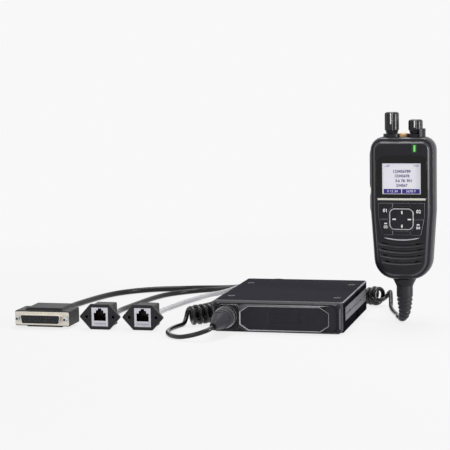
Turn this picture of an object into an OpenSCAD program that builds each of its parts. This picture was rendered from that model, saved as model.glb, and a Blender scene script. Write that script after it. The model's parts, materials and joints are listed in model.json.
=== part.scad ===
// Compact mobile transceiver: a flat main unit, a control handset on a curly cord,
// and three pigtails that end in a 25-way D connector and two network sockets.
// Origin: centre of the main unit's underside. +X right, +Y back, +Z up, front faces -Y.

/* [Main unit] */
// Width across the side walls
unit_w = 120; // [110:1:150]
// Depth from the bezel's face to the rear wall
unit_d = 144; // [136:1:180]
// Height from underside to top of the cover
unit_h = 28; // [28:1:40]
// Thickness of the cast floor
floor_t = 3; // [2:0.5:4]
// Thickness of the side walls
side_t = 6; // [5.5:0.5:7]
// Thickness of the front and rear walls
end_t = 3.5; // [3:0.5:5]
// Thickness of the top cover
cover_t = 2; // [1.5:0.5:3]
// Depth of the front bezel
bezel_d = 9; // [8:0.5:12]
// Corner radius of the casting seen from above
case_r = 3; // [2:0.5:5]
// Distance between the cover screws across the unit
screw_dx = 100; // [92:1:102]
// Distance between the cover screws along the unit
screw_dy = 80; // [70:1:96]
// Length of the mounting rails in the side walls
rail_l = 120; // [100:1:124]
// Height of the mounting rails
rail_h = 13; // [10:0.5:15]
// Distance between the two bracket holes of a rail
rail_pitch = 60; // [40:1:90]

/* [Front panel] */
// Width of the raised front pad
pad_w = 81; // [60:1:84]
// Height of the raised front pad
pad_h = 21; // [16:0.5:22]
// Width of the blank badge recess
badge_w = 30; // [20:1:40]
// Height of the blank badge recess
badge_h = 10; // [6:0.5:12]

/* [Microphone socket and plug] */
// Distance of the socket axis left of the unit's centre
mic_x = 47; // [44:0.5:48]
// Outer diameter of the coupling ring
ring_d = 20.4; // [19:0.1:21.6]
// Outer diameter of the socket's barrel
barrel_d = 15; // [14:0.1:15.4]
// Bore of the socket's barrel
barrel_bore = 11.5; // [10:0.1:12]

/* [Rear panel] */
// Height of the pigtail outlets above the underside
outlet_z = 22.2; // [21:0.1:22.4]
// Distance between pigtail outlets
outlet_pitch = 10; // [9:0.5:11]
// Outer diameter of the antenna connector's barrel
antenna_d = 11; // [9.6:0.1:12]
// Width of the power inlet's mouth
inlet_w = 14; // [12:0.5:16]
// Height of the power inlet's mouth
inlet_h = 8; // [7:0.5:9]

/* [Cords] */
// Diameter of the curly cord's lead
cord_d = 4.3; // [4:0.1:4.6]
// Outer diameter of the curly cord's coil
coil_od = 19.4; // [18:0.1:19.4]
// Diameter of the data cable
data_d = 5.8; // [5:0.1:6]
// Diameter of the first network cable
lan_a_d = 5.2; // [4.6:0.1:5.4]
// Diameter of the second network cable
lan_b_d = 4.8; // [4.4:0.1:5]

/* [Data connector] */
// Width of the connector's mounting plate
dsub_w = 53.04; // [52:0.01:54]
// Height of the connector's mounting plate
dsub_h = 12.55; // [12:0.01:13]
// Distance between the jack posts
post_pitch = 47.04; // [46.5:0.01:47.5]
// Depth of the hood's main block
hood_d = 27; // [24:1:34]

/* [Network sockets] */
// Width of the hexagonal flange
flange_w = 39; // [37:0.5:44]
// Height of the hexagonal flange
flange_h = 23.7; // [22:0.1:26]
// Thickness of the flange
flange_t = 3; // [2:0.5:4]
// Distance between the flange's screw holes
flange_pitch = 26; // [25:0.5:29]
// Width of the socket's mouth
mouth_w = 11.8; // [11.6:0.1:12]
// Height of the socket's mouth without its latch notch
mouth_h = 7.5; // [6.8:0.1:8]

/* [Handset body] */
// Width of the handset
hs_w = 60; // [57:1:64]
// Height of the handset without its knobs
hs_h = 132; // [128:1:145]
// Depth of the handset
hs_d = 32; // [30:1:38]
// Depth of the front case up to the seam
front_d = 7; // [6:0.5:8]
// Radius of the two top corners
top_r = 12; // [8:0.5:14]
// Radius of the two bottom corners
low_r = 20; // [14:0.5:22]
// Wall thickness of both case halves
hs_wall = 2.4; // [1.8:0.1:2.6]

/* [Handset display and keys] */
// Frame left at each side of the window
window_side = 6.75; // [6.5:0.25:8]
// Window height as a share of the handset's height
window_share = 0.2925; // [0.27:0.0025:0.3]
// Black border at each side of the lit display
lcd_side = 5.5; // [4:0.25:7]
// Black border above and below the lit display, added up
lcd_border = 10.3; // [9:0.1:12]
// Frame left at each side of the key field
keys_side = 8.2; // [6.7:0.1:8.6]
// Width of each corner key beside the four-way pad
corner_w = 10.2; // [9.6:0.1:12.5]
// Height of the strip above and below the four-way pad
strip_h = 4.9; // [4:0.1:6]
// Number of grille slots
slot_count = 4; // [3:1:4]
// Distance between grille slots
slot_pitch = 5.4; // [5:0.1:6]

/* [Handset top controls] */
// Distance between the two knobs
knob_pitch = 22; // [21:0.5:26]
// Diameter of the knobs
knob_d = 13.2; // [12:0.2:14]
// Height of the selector knob
selector_h = 19.5; // [16:0.5:24]
// Height of the volume knob
volume_h = 12.5; // [10:0.5:16]

/* [Clearances] */
// Gap round sliding keys and buttons
key_gap = 0.3; // [0.25:0.05:0.4]
// Gap between fixed pieces that seat in each other
fit_gap = 0.2; // [0.1:0.05:0.3]
// Radial clearance of turning parts
turn_gap = 0.06; // [0.04:0.01:0.1]

/* [Hidden] */
$fn = 48;
eps = 0.01;

black = [0.13, 0.13, 0.15];
dark = [0.2, 0.2, 0.22];
grey = [0.5, 0.5, 0.54];
pale = [0.84, 0.83, 0.87];
steel = [0.72, 0.72, 0.72];
green = [0.1, 0.35, 0.2];
gold = [0.85, 0.7, 0.35];

// ---- main unit: derived sizes ----
front_y = -unit_d / 2;
rear_y = unit_d / 2;
case_y0 = front_y + bezel_d;
case_d = unit_d - bezel_d;
case_yc = case_y0 + case_d / 2;
cover_z = unit_h - cover_t;
screw_y = case_yc - 2;
post_r = 4.3;
screw_l = 4 * cover_t;
board_z = 8;
board_t = 1.6;
board_w = unit_w - 2 * side_t - 18;
board_d = case_d - 2 * end_t - 16;
standoff_dx = board_w - 10;
standoff_dy = board_d - 8;
rail_t = 2.5;
rail_pocket = 3;
rail_yc = rear_y - 2 - rail_l / 2;
rail_zc = 14.7;
rail_groove = 2.2;
rail_groove_d = 0.8;
m4_tap_r = 1.65;
module_w = board_w - 28;
module_d = board_d - 38;
module_h = 8;
mic_z = 14.2;
pad_x = 7.5;
pad_z = 13.4;
pad_proud = 1.6;
pad_sink = 0.8;
pad_frame = 1.2;
bezel_sink = 1.6;
field_x = unit_w / 2 - 3.6;
field_left = pad_x - pad_w / 2 - 3.4;
socket_seat_y = front_y + 5;
barrel_front_y = front_y - 2;
ring_front_y = front_y - 6.6;
outlet_x = -34;
seal_w = 32;
antenna_x = unit_w / 2 - 22;
antenna_z = 14;
inlet_x = 4;
inlet_z = 15.2;
inlet_depth = 12;
ground_x = (inlet_x + antenna_x) / 2;

// ---- cord routes, by hand; the coil's third number is its share of the full diameter ----
mic_lead_route = [[-49, -110.5, 11.4], [-51.5, -116, 9.8], [-56.5, -119.5, 8],
    [-63, -120.5, 6], [-71, -119.5, 4], [-79, -116.5, 2.6], [-88, -109.5, 2.2],
    [-94, -100, 2.2], [-97.5, -88, 2.2], [-98, -75, 2.2], [-96.2, -63, 2.2], [-93.4, -53, 2.2],
    [-90.6, -46.6, 2.2]];
coil_route = [[-90.5, -46.5, 1], [-84, -41.5, 1], [-78, -34.5, 1], [-73.5, -25, 1],
    [-71, -13, 1], [-71, 20, 1], [-71, 60, 1], [-71, 67, 1], [-68.3, 77, 1],
    [-61, 84.3, 1], [-51, 87, 1], [-36, 87, 1], [-22, 87.6, 1], [-8, 91, 1],
    [4, 94.5, 1], [12, 96, 1], [18, 96.8, 0.72], [25, 97.3, 0.37], [38, 97.5, 0.33],
    [49, 96.8, 0.37], [55, 95.7, 0.72], [61, 93.8, 1], [66, 91.5, 1], [71, 87.5, 1]];
coil_breaks = [0, 6, 14, 23];
coil_axis = [for (p = coil_route) [p[0], p[1], p[2] * coil_od / 2]];
mic_tail_route = [[71.5, 88, 2.2], [75.5, 92.5, 6.5], [78.5, 95, 12.5], [80.3, 92, 15],
    [81.6, 86, 11.5], [82.8, 79, 6], [84.2, 70, 2.6], [87.5, 56, 2.2], [91.5, 42, 2.2],
    [95.8, 29, 2.3]];
data_route = [[-223, -43, 9.1], [-223.2, -35, 8.9], [-224.7, -23, 7.6], [-227.5, -9, 5.2],
    [-230.5, 4, 3.4], [-232.5, 19, 2.9], [-232, 35, 2.9], [-229.5, 51, 2.9], [-226.5, 68, 2.9],
    [-222.5, 86, 2.9], [-217, 104, 2.9], [-208, 121, 2.9], [-194, 136, 2.9],
    [-177, 147, 2.9], [-157, 153.5, 2.9],
    [-145, 155.8, 3.1], [-134, 155.2, 3.7], [-114, 147, 5.5], [-92, 132, 8.6], [-71, 117, 13],
    [-52, 106, 18], [-36, 96.5, 21.6], [-27, 88, 22.4], [-24.2, 82, 22.2], [-24, 78.2, 22.2]];
lan_a_route = [[-166.5, -52.5, 11.85], [-166.7, -45, 11.3], [-169.5, -28, 7.6], [-173, -12, 4],
    [-175.5, 2, 2.6], [-176, 16, 2.6], [-173.5, 36, 2.6], [-170, 62, 2.6], [-165.5, 90, 2.6],
    [-158.5, 113, 2.6], [-147, 130, 2.6], [-132, 140, 3.2], [-115, 138, 5], [-96, 126, 8.2],
    [-78, 114, 12.6], [-61, 104, 17.6], [-46, 95.5, 21.4], [-37, 87.5, 22.2],
    [-34.2, 82, 22.2], [-34, 78.2, 22.2]];
lan_b_route = [[-125.5, -50.5, 11.85], [-125.8, -43, 11.2], [-129, -27, 7.4], [-132.5, -12, 3.6],
    [-134.5, 3, 2.4], [-134.5, 20, 2.4], [-131.5, 41, 2.4], [-126.5, 70, 2.4], [-120, 94, 2.6],
    [-111.5, 108, 4], [-98.5, 110, 6.6], [-85, 106, 11], [-71, 100.5, 16.6], [-58, 94, 20.9],
    [-48, 87.5, 22], [-44.3, 82, 22.2], [-44, 78.2, 22.2]];

// ---- connectors on the pigtails ----
dsub_x = -223;
dsub_y = -79;
dsub_z = 9.1;
hood_w = 54.2;
hood_h = 14.2;
hood_bump = 2;
socket_a_x = -166.5;
socket_b_x = -125.5;
socket_a_y = -78;
socket_b_y = -76;
jack_w = 15.9;
jack_h = 17.6;
jack_d = 19;
nut_boss = 2.5;

// ---- handset: place and derived sizes ----
hs_x = 107.5;
hs_y = -1;
hs_z = 42;
hs_yaw = -1.5;
low_half = hs_w / 2 - 3;
taper_z = 64;
taper_a = atan(3 / (taper_z - low_r)) + 0.3;
face_y = -hs_d / 2;
seam_y = face_y + front_d;
wall_y = face_y + hs_wall;
seal_t = 0.4;
window_w = hs_w - 2 * window_side;
window_h = window_share * hs_h;
window_z = 0.728 * hs_h;
window_t = 1.2;
lcd_w = window_w - 2 * lcd_side;
lcd_h = window_h - lcd_border;
lcd_z = window_z - 2;
lcd_sink = 1.6;
window_top = window_z + window_h / 2;
lamp_band = hs_h - window_top;
lamp_x = 12;
lamp_w = 4.6;
lamp_h = 0.46 * lamp_band;
lamp_z = window_top + 0.39 * lamp_band;
bar_t = 1.8;
bar_z = window_z - window_h / 2 - 1.5;
keys_w = hs_w - 2 * keys_side;
bar_w = keys_w + 0.6;
keys_h = window_h - 8.3;
keys_z = bar_z - keys_h / 2 - 3.1;
keys_low_w = keys_w - 6.9;
dpad_w = keys_w - 2 * corner_w;
dpad_h = keys_h - 2 * strip_h;
strip_w = dpad_w - 7.4;
lip_z = keys_z - keys_h / 2 - 3.7;
lip_r = 65;
key_proud = 0.9;
key_t = 2.3;
key_travel = 0.7;
ptt_l = 0.2727 * hs_h;
ptt_h = 0.3 * hs_d;
ptt_z = window_z + 5.9;
side_l = ptt_l / 2;
side_h = hs_d / 4;
side_z = bar_z - 3.6;
side_y = -2.5;
knob_y = -0.6;
collar_d = 16;
button_w = 7;
button_d = 9;
button_lip = 1.4;
pointer_a = 0;
collar_h = 2.6;
knob_z = hs_h + collar_h + 0.4;
shaft_d = 6;
bushing_d = 9;
grille_z = lip_z - 5.5;
grille_w = hs_w - 17;
speaker_z = grille_z - 1.5 * slot_pitch + 1.3;
speaker_r = hs_w * 0.238;
grille_r = 85;
function slot_w(k) = grille_w - k * k * 0.7;
plate_in = 6.3;
groove_in = 3.6;
neck_d = 21.6;
boot_d = 15.2;
boot_bend_r = 11;
boot_end_d = 5.6;
boot_end_z = 2.9;
boot_az = 120;
stud_z = hs_h * 2 / 3;
boss_r = 2.6;
boss_top_x = hs_w * 0.3;
boss_low_x = boss_top_x - 5;

// ================= helpers =================
// Flat rounded rectangle with exact arcs
module round_rect(w, h, r) {
    square([w - 2 * r, h], center = true);
    square([w, h - 2 * r], center = true);
    for (x = [-1, 1], y = [-1, 1]) translate([x * (w / 2 - r), y * (h / 2 - r)]) circle(r);
}

// Upright block on a rounded rectangle, standing on z = 0
module round_block(w, d, h, r) linear_extrude(h) round_rect(w, d, r);

// Extrudes a flat shape drawn in X and Z from y0 back to y1
module along_y(y0, y1) translate([0, y1, 0]) rotate([90, 0, 0]) linear_extrude(y1 - y0) children();

// Cylinder along Y from y0 to y1
module rod_y(y0, y1, r) translate([0, y1, 0]) rotate([90, 0, 0]) cylinder(r = r, h = y1 - y0);

// Profile of [radius, position] points turned about the Y axis
module turned_y(profile) rotate([-90, 0, 0]) rotate_extrude() polygon(profile);

// Points along an arc
function arc(cx, cy, r, a0, a1, n) =
    [for (k = [0:n]) let (a = a0 + (a1 - a0) * k / n) [cx + r * cos(a), cy + r * sin(a)]];

function unit(v) = v / norm(v);

// Direction of a route at point i
function heading(p, i) = unit(p[min(i + 1, len(p) - 1)] - p[max(i - 1, 0)]);

// Rings of a tube of varying radius along a route; ref is never parallel to the route
function tube_rings(p, r, sides, ref) = [for (i = [0:len(p) - 1])
    let (t = heading(p, i), s = unit(cross(t, ref)), u = cross(s, t), q = is_list(r) ? r[i] : r)
    [for (k = [0:sides - 1]) let (a = 360 * k / sides) p[i] + q * (cos(a) * s + sin(a) * u)]];

// Closed skin over a row of rings that have the same number of points
module skin(rings) {
    n = len(rings[0]);
    m = len(rings);
    sides = [for (i = [0:m - 2], k = [0:n - 1]) let (j = (k + 1) % n)
        each [[i * n + k, (i + 1) * n + j, (i + 1) * n + k], [i * n + k, i * n + j, (i + 1) * n + j]]];
    first = [for (k = [n - 1:-1:0]) k];
    last = [for (k = [0:n - 1]) (m - 1) * n + k];
    polyhedron(points = [for (r = rings) each r], faces = concat([first, last], sides));
}

// Cord along a hand-made route
module cord(route, d, sides = 8) skin(tube_rings(route, d / 2, sides, [0, 0, 1]));

// ================= main unit =================
module rail_places() for (s = [-1, 1])
    translate([s * unit_w / 2, rail_yc, rail_zc]) flip_x(s) children();

// Mirrors the children when s is -1
module flip_x(s) mirror([s < 0 ? 1 : 0, 0, 0]) children();

module cover_screw_places() for (x = [-1, 1], y = [-1, 1])
    translate([x * screw_dx / 2, screw_y + y * screw_dy / 2, 0]) children();

module standoff_places() for (x = [-1, 1], y = [-1, 1])
    translate([x * standoff_dx / 2, case_yc + y * standoff_dy / 2, 0]) children();

module chassis() color(black) difference() {
    union() {
        difference() {
            translate([0, case_yc, 0]) round_block(unit_w, case_d, cover_z, case_r);
            translate([0, case_yc, floor_t])
                round_block(unit_w - 2 * side_t, case_d - 2 * end_t, unit_h, 2);
        }
        cover_screw_places() cylinder(r = post_r, h = cover_z);
        standoff_places() cylinder(r = 3, h = board_z);
    }
    // threads for the cover screws and the board screws
    cover_screw_places() translate([0, 0, cover_z - screw_l - 4]) cylinder(r = 1.45, h = screw_l + 4 + eps);
    standoff_places() translate([0, 0, board_z - 5]) cylinder(r = 1.2, h = 5 + eps);
    // pockets and bracket threads for the side rails
    rail_places() {
        translate([0.5 - rail_pocket / 2, 0, 0])
            cube([rail_pocket + 1, rail_l + 2 * fit_gap, rail_h + 2 * fit_gap], center = true);
        rail_hole_places() rotate([0, -90, 0]) cylinder(r = m4_tap_r, h = side_t + 1);
    }
    // front wall: microphone socket
    translate([-mic_x, 0, mic_z]) rod_y(case_y0 - 1, case_y0 + end_t + 1, barrel_d / 2 + fit_gap / 2);
    // rear wall: cable seal slot, antenna and power inlet
    translate([outlet_x, rear_y - end_t / 2, cover_z])
        cube([seal_w, end_t + 1, 2 * (cover_z - seal_low_z())], center = true);
    translate([antenna_x, 0, antenna_z]) rod_y(rear_y - end_t - 1, rear_y + 1, antenna_d / 2 - 1);
    translate([inlet_x, rear_y - end_t / 2, inlet_z])
        cube([inlet_w + 3, end_t + 1, inlet_h + 3], center = true);
    // ground screw thread
    translate([ground_x, 0, antenna_z]) rod_y(rear_y - end_t - 1, rear_y + 1, 1.65);
}

function seal_low_z() = outlet_z - data_d / 2 - 2;

module rail_hole_places() for (s = [-1, 1]) translate([1, s * rail_pitch / 2, 0]) children();

module top_cover() color(dark) difference() {
    union() {
        // chamfered plate
        hull() {
            translate([0, case_yc, cover_z]) round_block(unit_w, case_d, cover_t - 0.7, case_r);
            translate([0, case_yc, cover_z])
                round_block(unit_w - 1.4, case_d - 1.4, cover_t, case_r - 0.7);
        }
        // locating ledge inside the casting
        translate([0, case_yc, cover_z - 1.2]) difference() {
            round_block(unit_w - 2 * side_t - 2 * fit_gap, case_d - 2 * end_t - 2 * fit_gap, 1.2 + eps, 2);
            translate([0, 0, -1])
                round_block(unit_w - 2 * side_t - 6, case_d - 2 * end_t - 6, 4, 1);
        }
    }
    cover_screw_places() {
        translate([0, 0, cover_z - 2]) cylinder(r = 1.65, h = cover_t + 3);
        translate([0, 0, unit_h - 1.5]) cylinder(r1 = 1.65, r2 = 3.25, h = 1.5 + eps);
        translate([0, 0, cover_z - 3]) cylinder(r = post_r + fit_gap, h = 3);
    }
}

module cover_screws() color(grey) cover_screw_places() difference() {
    union() {
        translate([0, 0, cover_z - screw_l]) cylinder(r = 1.4, h = screw_l + cover_t / 2);
        translate([0, 0, unit_h - 1.5 + fit_gap]) cylinder(r1 = 1.4, r2 = 3, h = 1.5 - fit_gap);
    }
    translate([0, 0, unit_h - 0.5]) for (a = [0, 90]) rotate(a) cube([3, 0.6, 1.2], center = true);
}

// Bezel outline seen from the front
module bezel_shape(inset) translate([0, unit_h / 2]) round_rect(unit_w - 2 * inset, unit_h - 2 * inset, 4);

// Outline of the raised field between x0 and x1, drawn in by i
module field_shape(x0, x1, i) translate([(x0 + x1) / 2, unit_h / 2 - 0.1])
    round_rect(x1 - x0 - 2 * i, unit_h - 3 - 2 * i, 6 - i);

module front_bezel() color(black) difference() {
    union() {
        // rim with a step inside it
        difference() {
            hull() {
                along_y(front_y + 2.5, case_y0) bezel_shape(0);
                along_y(front_y + 0.8, case_y0) bezel_shape(0.7);
                along_y(front_y, case_y0) bezel_shape(2);
            }
            along_y(front_y - 1, front_y + bezel_sink) field_shape(-field_x, field_x, -0.5);
        }
        // raised field with sloping sides, cut to the pad's corners
        hull() {
            along_y(front_y + bezel_sink, front_y + bezel_sink + 1) field_shape(field_left, field_x, 0);
            along_y(front_y - pad_proud, front_y) translate([pad_x, pad_z])
                polygon(pad_points(-pad_frame, 5));
        }
        // lower field round the plug
        hull() {
            along_y(front_y + bezel_sink, front_y + bezel_sink + 1)
                field_shape(-field_x, pad_x - pad_w / 2, 0);
            along_y(front_y - 0.4, front_y) field_shape(-field_x, pad_x - pad_w / 2, 1.3);
        }
    }
    // recess for the pad with a bevelled edge
    translate([pad_x, 0, pad_z]) {
        along_y(front_y - pad_proud - 1, front_y + 2) polygon(pad_points(-fit_gap / 2, 5));
        hull() {
            along_y(front_y - pad_proud - 1, front_y - pad_proud + eps) polygon(pad_points(-0.9, 5));
            along_y(front_y - pad_proud, front_y - pad_proud + pad_sink)
                polygon(pad_points(-fit_gap / 2, 5));
        }
    }
    // round recess for the plug and hole for the socket
    translate([-mic_x, 0, mic_z]) {
        rod_y(front_y - pad_proud - 1, socket_seat_y, ring_d / 2 + 0.9);
        rod_y(front_y, case_y0 + 1, barrel_d / 2 + fit_gap / 2);
    }
}

// Pad outline with cut corners
function pad_points(i, c) = let (a = pad_w / 2 - i, b = pad_h / 2 - i, k = c - i * 0.5)
    [[a, b - k], [a - k * 1.5, b], [-a + k * 1.5, b], [-a, b - k], [-a, -b + k],
     [-a + k * 1.5, -b], [a - k * 1.5, -b], [a, -b + k]];

// Pad seated in the recess, with a blank place for a badge
module front_pad() color(dark) translate([pad_x, 0, pad_z]) {
    pad_face_y = front_y - pad_proud + pad_sink;
    difference() {
        hull() {
            along_y(pad_face_y + 0.4, front_y + 2) polygon(pad_points(0, 5));
            along_y(pad_face_y, front_y + 2) polygon(pad_points(0.4, 5));
        }
        along_y(pad_face_y - 1, pad_face_y + 0.6) round_rect(badge_w, badge_h, 0.6);
    }
}

module side_rails() color(grey) rail_places() difference() {
    translate([-rail_pocket + rail_t / 2, 0, 0]) cube([rail_t, rail_l, rail_h], center = true);
    translate([-rail_pocket + rail_t, 0, 0])
        cube([2 * rail_groove_d, rail_l - 12, rail_groove], center = true);
    rail_hole_places() rotate([0, -90, 0]) cylinder(r = m4_tap_r, h = side_t + 1);
}

module main_board() color(green) difference() {
    union() {
        translate([0, case_yc, board_z]) round_block(board_w, board_d, board_t, 1.5);
        // socket header behind the microphone socket
        translate([-mic_x + 11, case_y0 + 18, board_z]) cube([14, 9, 9]);
        // filter capacitors and coils
        for (k = [0:3]) translate([board_w / 2 - 10, case_yc - 30 + k * 13, board_z])
            cylinder(r = 4, h = 12, $fn = 32);
        for (k = [0:2]) translate([-board_w / 2 + 4, case_yc - 20 + k * 16, board_z]) cube([7, 11, 6]);
        // pin headers for the pigtails
        for (k = [-1:1])
            translate([outlet_x + k * outlet_pitch - 1, case_yc + board_d / 2 - 14, board_z])
                cube([7, 6, 7]);
    }
    standoff_places() translate([0, 0, board_z - 1]) cylinder(r = 1.6, h = board_z + board_t);
}

module board_screws() color(steel) standoff_places() difference() {
    union() {
        translate([0, 0, board_z - 4]) cylinder(r = 1.15, h = 4 + board_t + 0.5);
        translate([0, 0, board_z + board_t]) cylinder(r = 2.4, h = 1.6);
    }
    translate([0, 0, board_z + board_t + 1.3]) cube([3, 0.6, 1.2], center = true);
}

module radio_module() color(steel) translate([-2, case_yc - 2, board_z + board_t]) difference() {
    union() {
        round_block(module_w, module_d, module_h, 1.5);
        for (y = [-1, 1]) translate([0, y * (module_d / 2 + 2), 0]) round_block(20, 5, 1, 0.5);
    }
    // seams of the pressed screening can
    for (x = [-12, 12]) translate([x, 0, module_h]) cube([0.6, module_d - 6, 0.6], center = true);
}

module heat_spreader() color(grey) difference() {
    translate([-2, case_yc - 2, board_z + board_t + module_h + eps])
        round_block(module_w - 8, module_d - 8, cover_z - board_z - board_t - module_h - fit_gap, 2);
    // fins on the upper face
    for (k = [-4:4]) translate([-2 + k * 5.6, case_yc - 2, cover_z - 2])
        cube([1.6, module_d, 4], center = true);
}

module antenna_connector() color(gold) translate([antenna_x, 0, antenna_z]) difference() {
    union() {
        rod_y(rear_y, rear_y + 1.5, 8);
        rod_y(rear_y, rear_y + 9, antenna_d / 2);
        rod_y(rear_y - end_t - 5, rear_y + eps, antenna_d / 2 - 1 - fit_gap / 2);
    }
    // socket round the centre contact
    difference() {
        rod_y(rear_y + 2.5, rear_y + 10, antenna_d / 2 - 1.2);
        rod_y(rear_y + 2, rear_y + 8, 1.2);
    }
    // thread undercut
    difference() {
        rod_y(rear_y + 1.5, rear_y + 2.5, antenna_d / 2 + 1);
        rod_y(rear_y + 1, rear_y + 3, antenna_d / 2 - 0.5);
    }
}

module power_inlet() color(black) translate([inlet_x, 0, inlet_z]) {
    difference() {
        union() {
            along_y(rear_y - inlet_depth - 2, rear_y) square([inlet_w + 2.6, inlet_h + 2.6], center = true);
            along_y(rear_y, rear_y + 1.2) round_rect(inlet_w + 5, inlet_h + 5, 1);
        }
        along_y(rear_y - inlet_depth, rear_y + 2) square([inlet_w, inlet_h], center = true);
        translate([0, 0, inlet_h / 2])
            along_y(rear_y - inlet_depth + 4, rear_y + 2) square([4, 1.6], center = true);
    }
    // two pins
    for (x = [-1, 1]) translate([x * inlet_w / 4, 0, 0])
        rod_y(rear_y - inlet_depth - 1, rear_y - inlet_depth + 5, 1);
}

module outlet_places() for (k = [-1:1]) translate([outlet_x + k * outlet_pitch, 0, outlet_z]) children();

// Cable diameters at the outlets, from left to right
outlet_ds = [lan_b_d, lan_a_d, data_d];

module cable_seal() color(black) difference() {
    union() {
        translate([outlet_x, 0, (cover_z + seal_low_z()) / 2]) along_y(rear_y - end_t, rear_y + 0.8)
            square([seal_w - fit_gap, cover_z - seal_low_z() - fit_gap], center = true);
        // tapered snouts
        outlet_places() turned_y([[0, rear_y], [4.1, rear_y], [4.1, rear_y + 2],
            [3.6, rear_y + 9], [0, rear_y + 9]]);
    }
    for (k = [-1:1]) translate([outlet_x + k * outlet_pitch, 0, outlet_z])
        rod_y(rear_y + 6, rear_y + 11, outlet_ds[k + 1] / 2 + 0.05);
}

module ground_screw() color(steel) translate([ground_x, 0, antenna_z]) difference() {
    union() {
        rod_y(rear_y - 6, rear_y + 1, 1.6);
        rod_y(rear_y, rear_y + 0.8, 4);
        rod_y(rear_y + 0.8, rear_y + 2.8, 3);
    }
    translate([0, rear_y + 2.8, 0]) cube([4, 1.6, 0.8], center = true);
}

// ================= microphone socket and plug =================
module mic_socket() color(steel) translate([-mic_x, 0, mic_z]) difference() {
    union() {
        rod_y(barrel_front_y, case_y0 + end_t, barrel_d / 2);
        rod_y(socket_seat_y - 1.4, socket_seat_y, ring_d / 2);
        rod_y(case_y0 + end_t - eps, case_y0 + end_t + 3, barrel_d / 2 - 1.1);
    }
    rod_y(barrel_front_y - 1, front_y + 10, barrel_bore / 2);
    rod_y(case_y0 + end_t + 1, case_y0 + end_t + 4, barrel_bore / 2);
}

module mic_plug_body() color(steel) translate([-mic_x, 0, mic_z]) {
    difference() {
        union() {
            // nose in the barrel, retaining flange, neck and back shell
            rod_y(barrel_front_y - 1, front_y + 6, barrel_bore / 2 - 0.1);
            rod_y(barrel_front_y - 1.4, barrel_front_y - 0.2, barrel_d / 2);
            rod_y(ring_front_y - 1, barrel_front_y - 0.5, neck_r());
            rod_y(ring_front_y - 3, ring_front_y - 0.3, 8.6);
        }
        // key way in the nose
        translate([0, front_y + 3, barrel_bore / 2]) cube([1.6, 8, 2], center = true);
    }
}

function neck_r() = barrel_d / 2 - 1;

module mic_plug_ring() color(grey) translate([-mic_x, 0, mic_z]) difference() {
    union() {
        rod_y(ring_front_y + 1, socket_seat_y - 1.8, ring_d / 2 - 0.3);
        // two raised grip bands
        rod_y(ring_front_y + 2.2, ring_front_y + 5, ring_d / 2);
        rod_y(socket_seat_y - 4, socket_seat_y - 2.4, ring_d / 2);
        rod_y(ring_front_y, ring_front_y + 2, ring_d / 2 - 1);
    }
    rod_y(barrel_front_y - 1.7, socket_seat_y, barrel_d / 2 + turn_gap);
    rod_y(ring_front_y - 1, socket_seat_y, neck_r() + turn_gap);
    for (k = [0:23]) rotate([0, k * 15, 0]) translate([ring_d / 2 + 0.15, ring_front_y + 3.6, 0])
        cube([0.9, 3, 0.9], center = true);
}

// Plug boot: bulged grip, ribs, then a taper that droops to the lead
plug_boot_axis = [[-47, -81.5, 14.2], [-47, -83, 14.2], [-47, -86, 14.2], [-47, -89, 14.2],
    [-47, -89.4, 14.2], [-47, -90.6, 14.2], [-47, -91, 14.2], [-47.1, -93.4, 14.1],
    [-47.1, -93.8, 14.1], [-47.2, -95, 14], [-47.2, -95.4, 14], [-47.5, -99, 13.6],
    [-47.9, -103, 13], [-48.4, -107, 12.3], [-49, -110.5, 11.4]];
plug_boot_r = [8.6, 8.9, 9, 8.7, 8.1, 8, 8.5, 8.1, 7.5, 7.4, 7.8, 6.8, 5.6, 4.5, 3.5];

module mic_plug_boot() color(black)
    skin(tube_rings(plug_boot_axis, plug_boot_r, 28, [0, 0, 1]));

module mic_lead() color(black) cord(mic_lead_route, cord_d);

// The coil is one route cut into three nodes that share their end rings
module coil_part(k) {
    rings = tube_rings(coil_axis, [for (p = coil_axis) p[2]], 12, [0, 0, 1]);
    skin([for (i = [coil_breaks[k]:coil_breaks[k + 1]]) rings[i]]);
}

module mic_coil_left() color(black) coil_part(0);
module mic_coil_rear() color(black) coil_part(1);
module mic_coil_right() color(black) coil_part(2);
module mic_tail() color(black) cord(concat(mic_tail_route,
    [boot_tip() + 6 * boot_dir(), boot_tip() + 0.4 * boot_dir()]), cord_d);
module data_cable() color(dark) cord(data_route, data_d);
module network_cable_a() color(dark) cord(lan_a_route, lan_a_d);
module network_cable_b() color(pale) cord(lan_b_route, lan_b_d);

// ================= data connector =================
// D outline with slanted ends
module dsub_outline(w, h, r) hull() for (s = [-1, 1]) {
    translate([s * (w / 2 - r), h / 2 - r]) circle(r, $fn = 24);
    translate([s * (w / 2 - r - (h - 2 * r) * tan(10)), -h / 2 + r]) circle(r, $fn = 24);
}

module dsub_place() translate([dsub_x, dsub_y, dsub_z]) children();

module post_places() for (s = [-1, 1]) translate([s * post_pitch / 2, 0, 0]) children();

module dsub_shell() color(steel) dsub_place() difference() {
    union() {
        along_y(0, 1) round_rect(dsub_w, dsub_h, 1);
        along_y(-5.8, 0.5) dsub_outline(39.3, 8.6, 2);
    }
    along_y(-6, 2) dsub_outline(38.3, 7.6, 1.6);
    post_places() rod_y(-1, 2, 1.6);
}

// Contact holes: 13 above, 12 below
module dsub_holes() for (row = [0, 1], k = [0:12 - row])
    translate([(k - (12 - row) / 2) * 2.77, 0, 1.42 - row * 2.84]) children();

module dsub_insert() color(black) dsub_place() difference() {
    along_y(-5.4, 9) dsub_outline(38.3 - fit_gap, 7.6 - fit_gap, 1.5);
    dsub_holes() rod_y(-6, 2, 0.65, $fn = 16);
}

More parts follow.
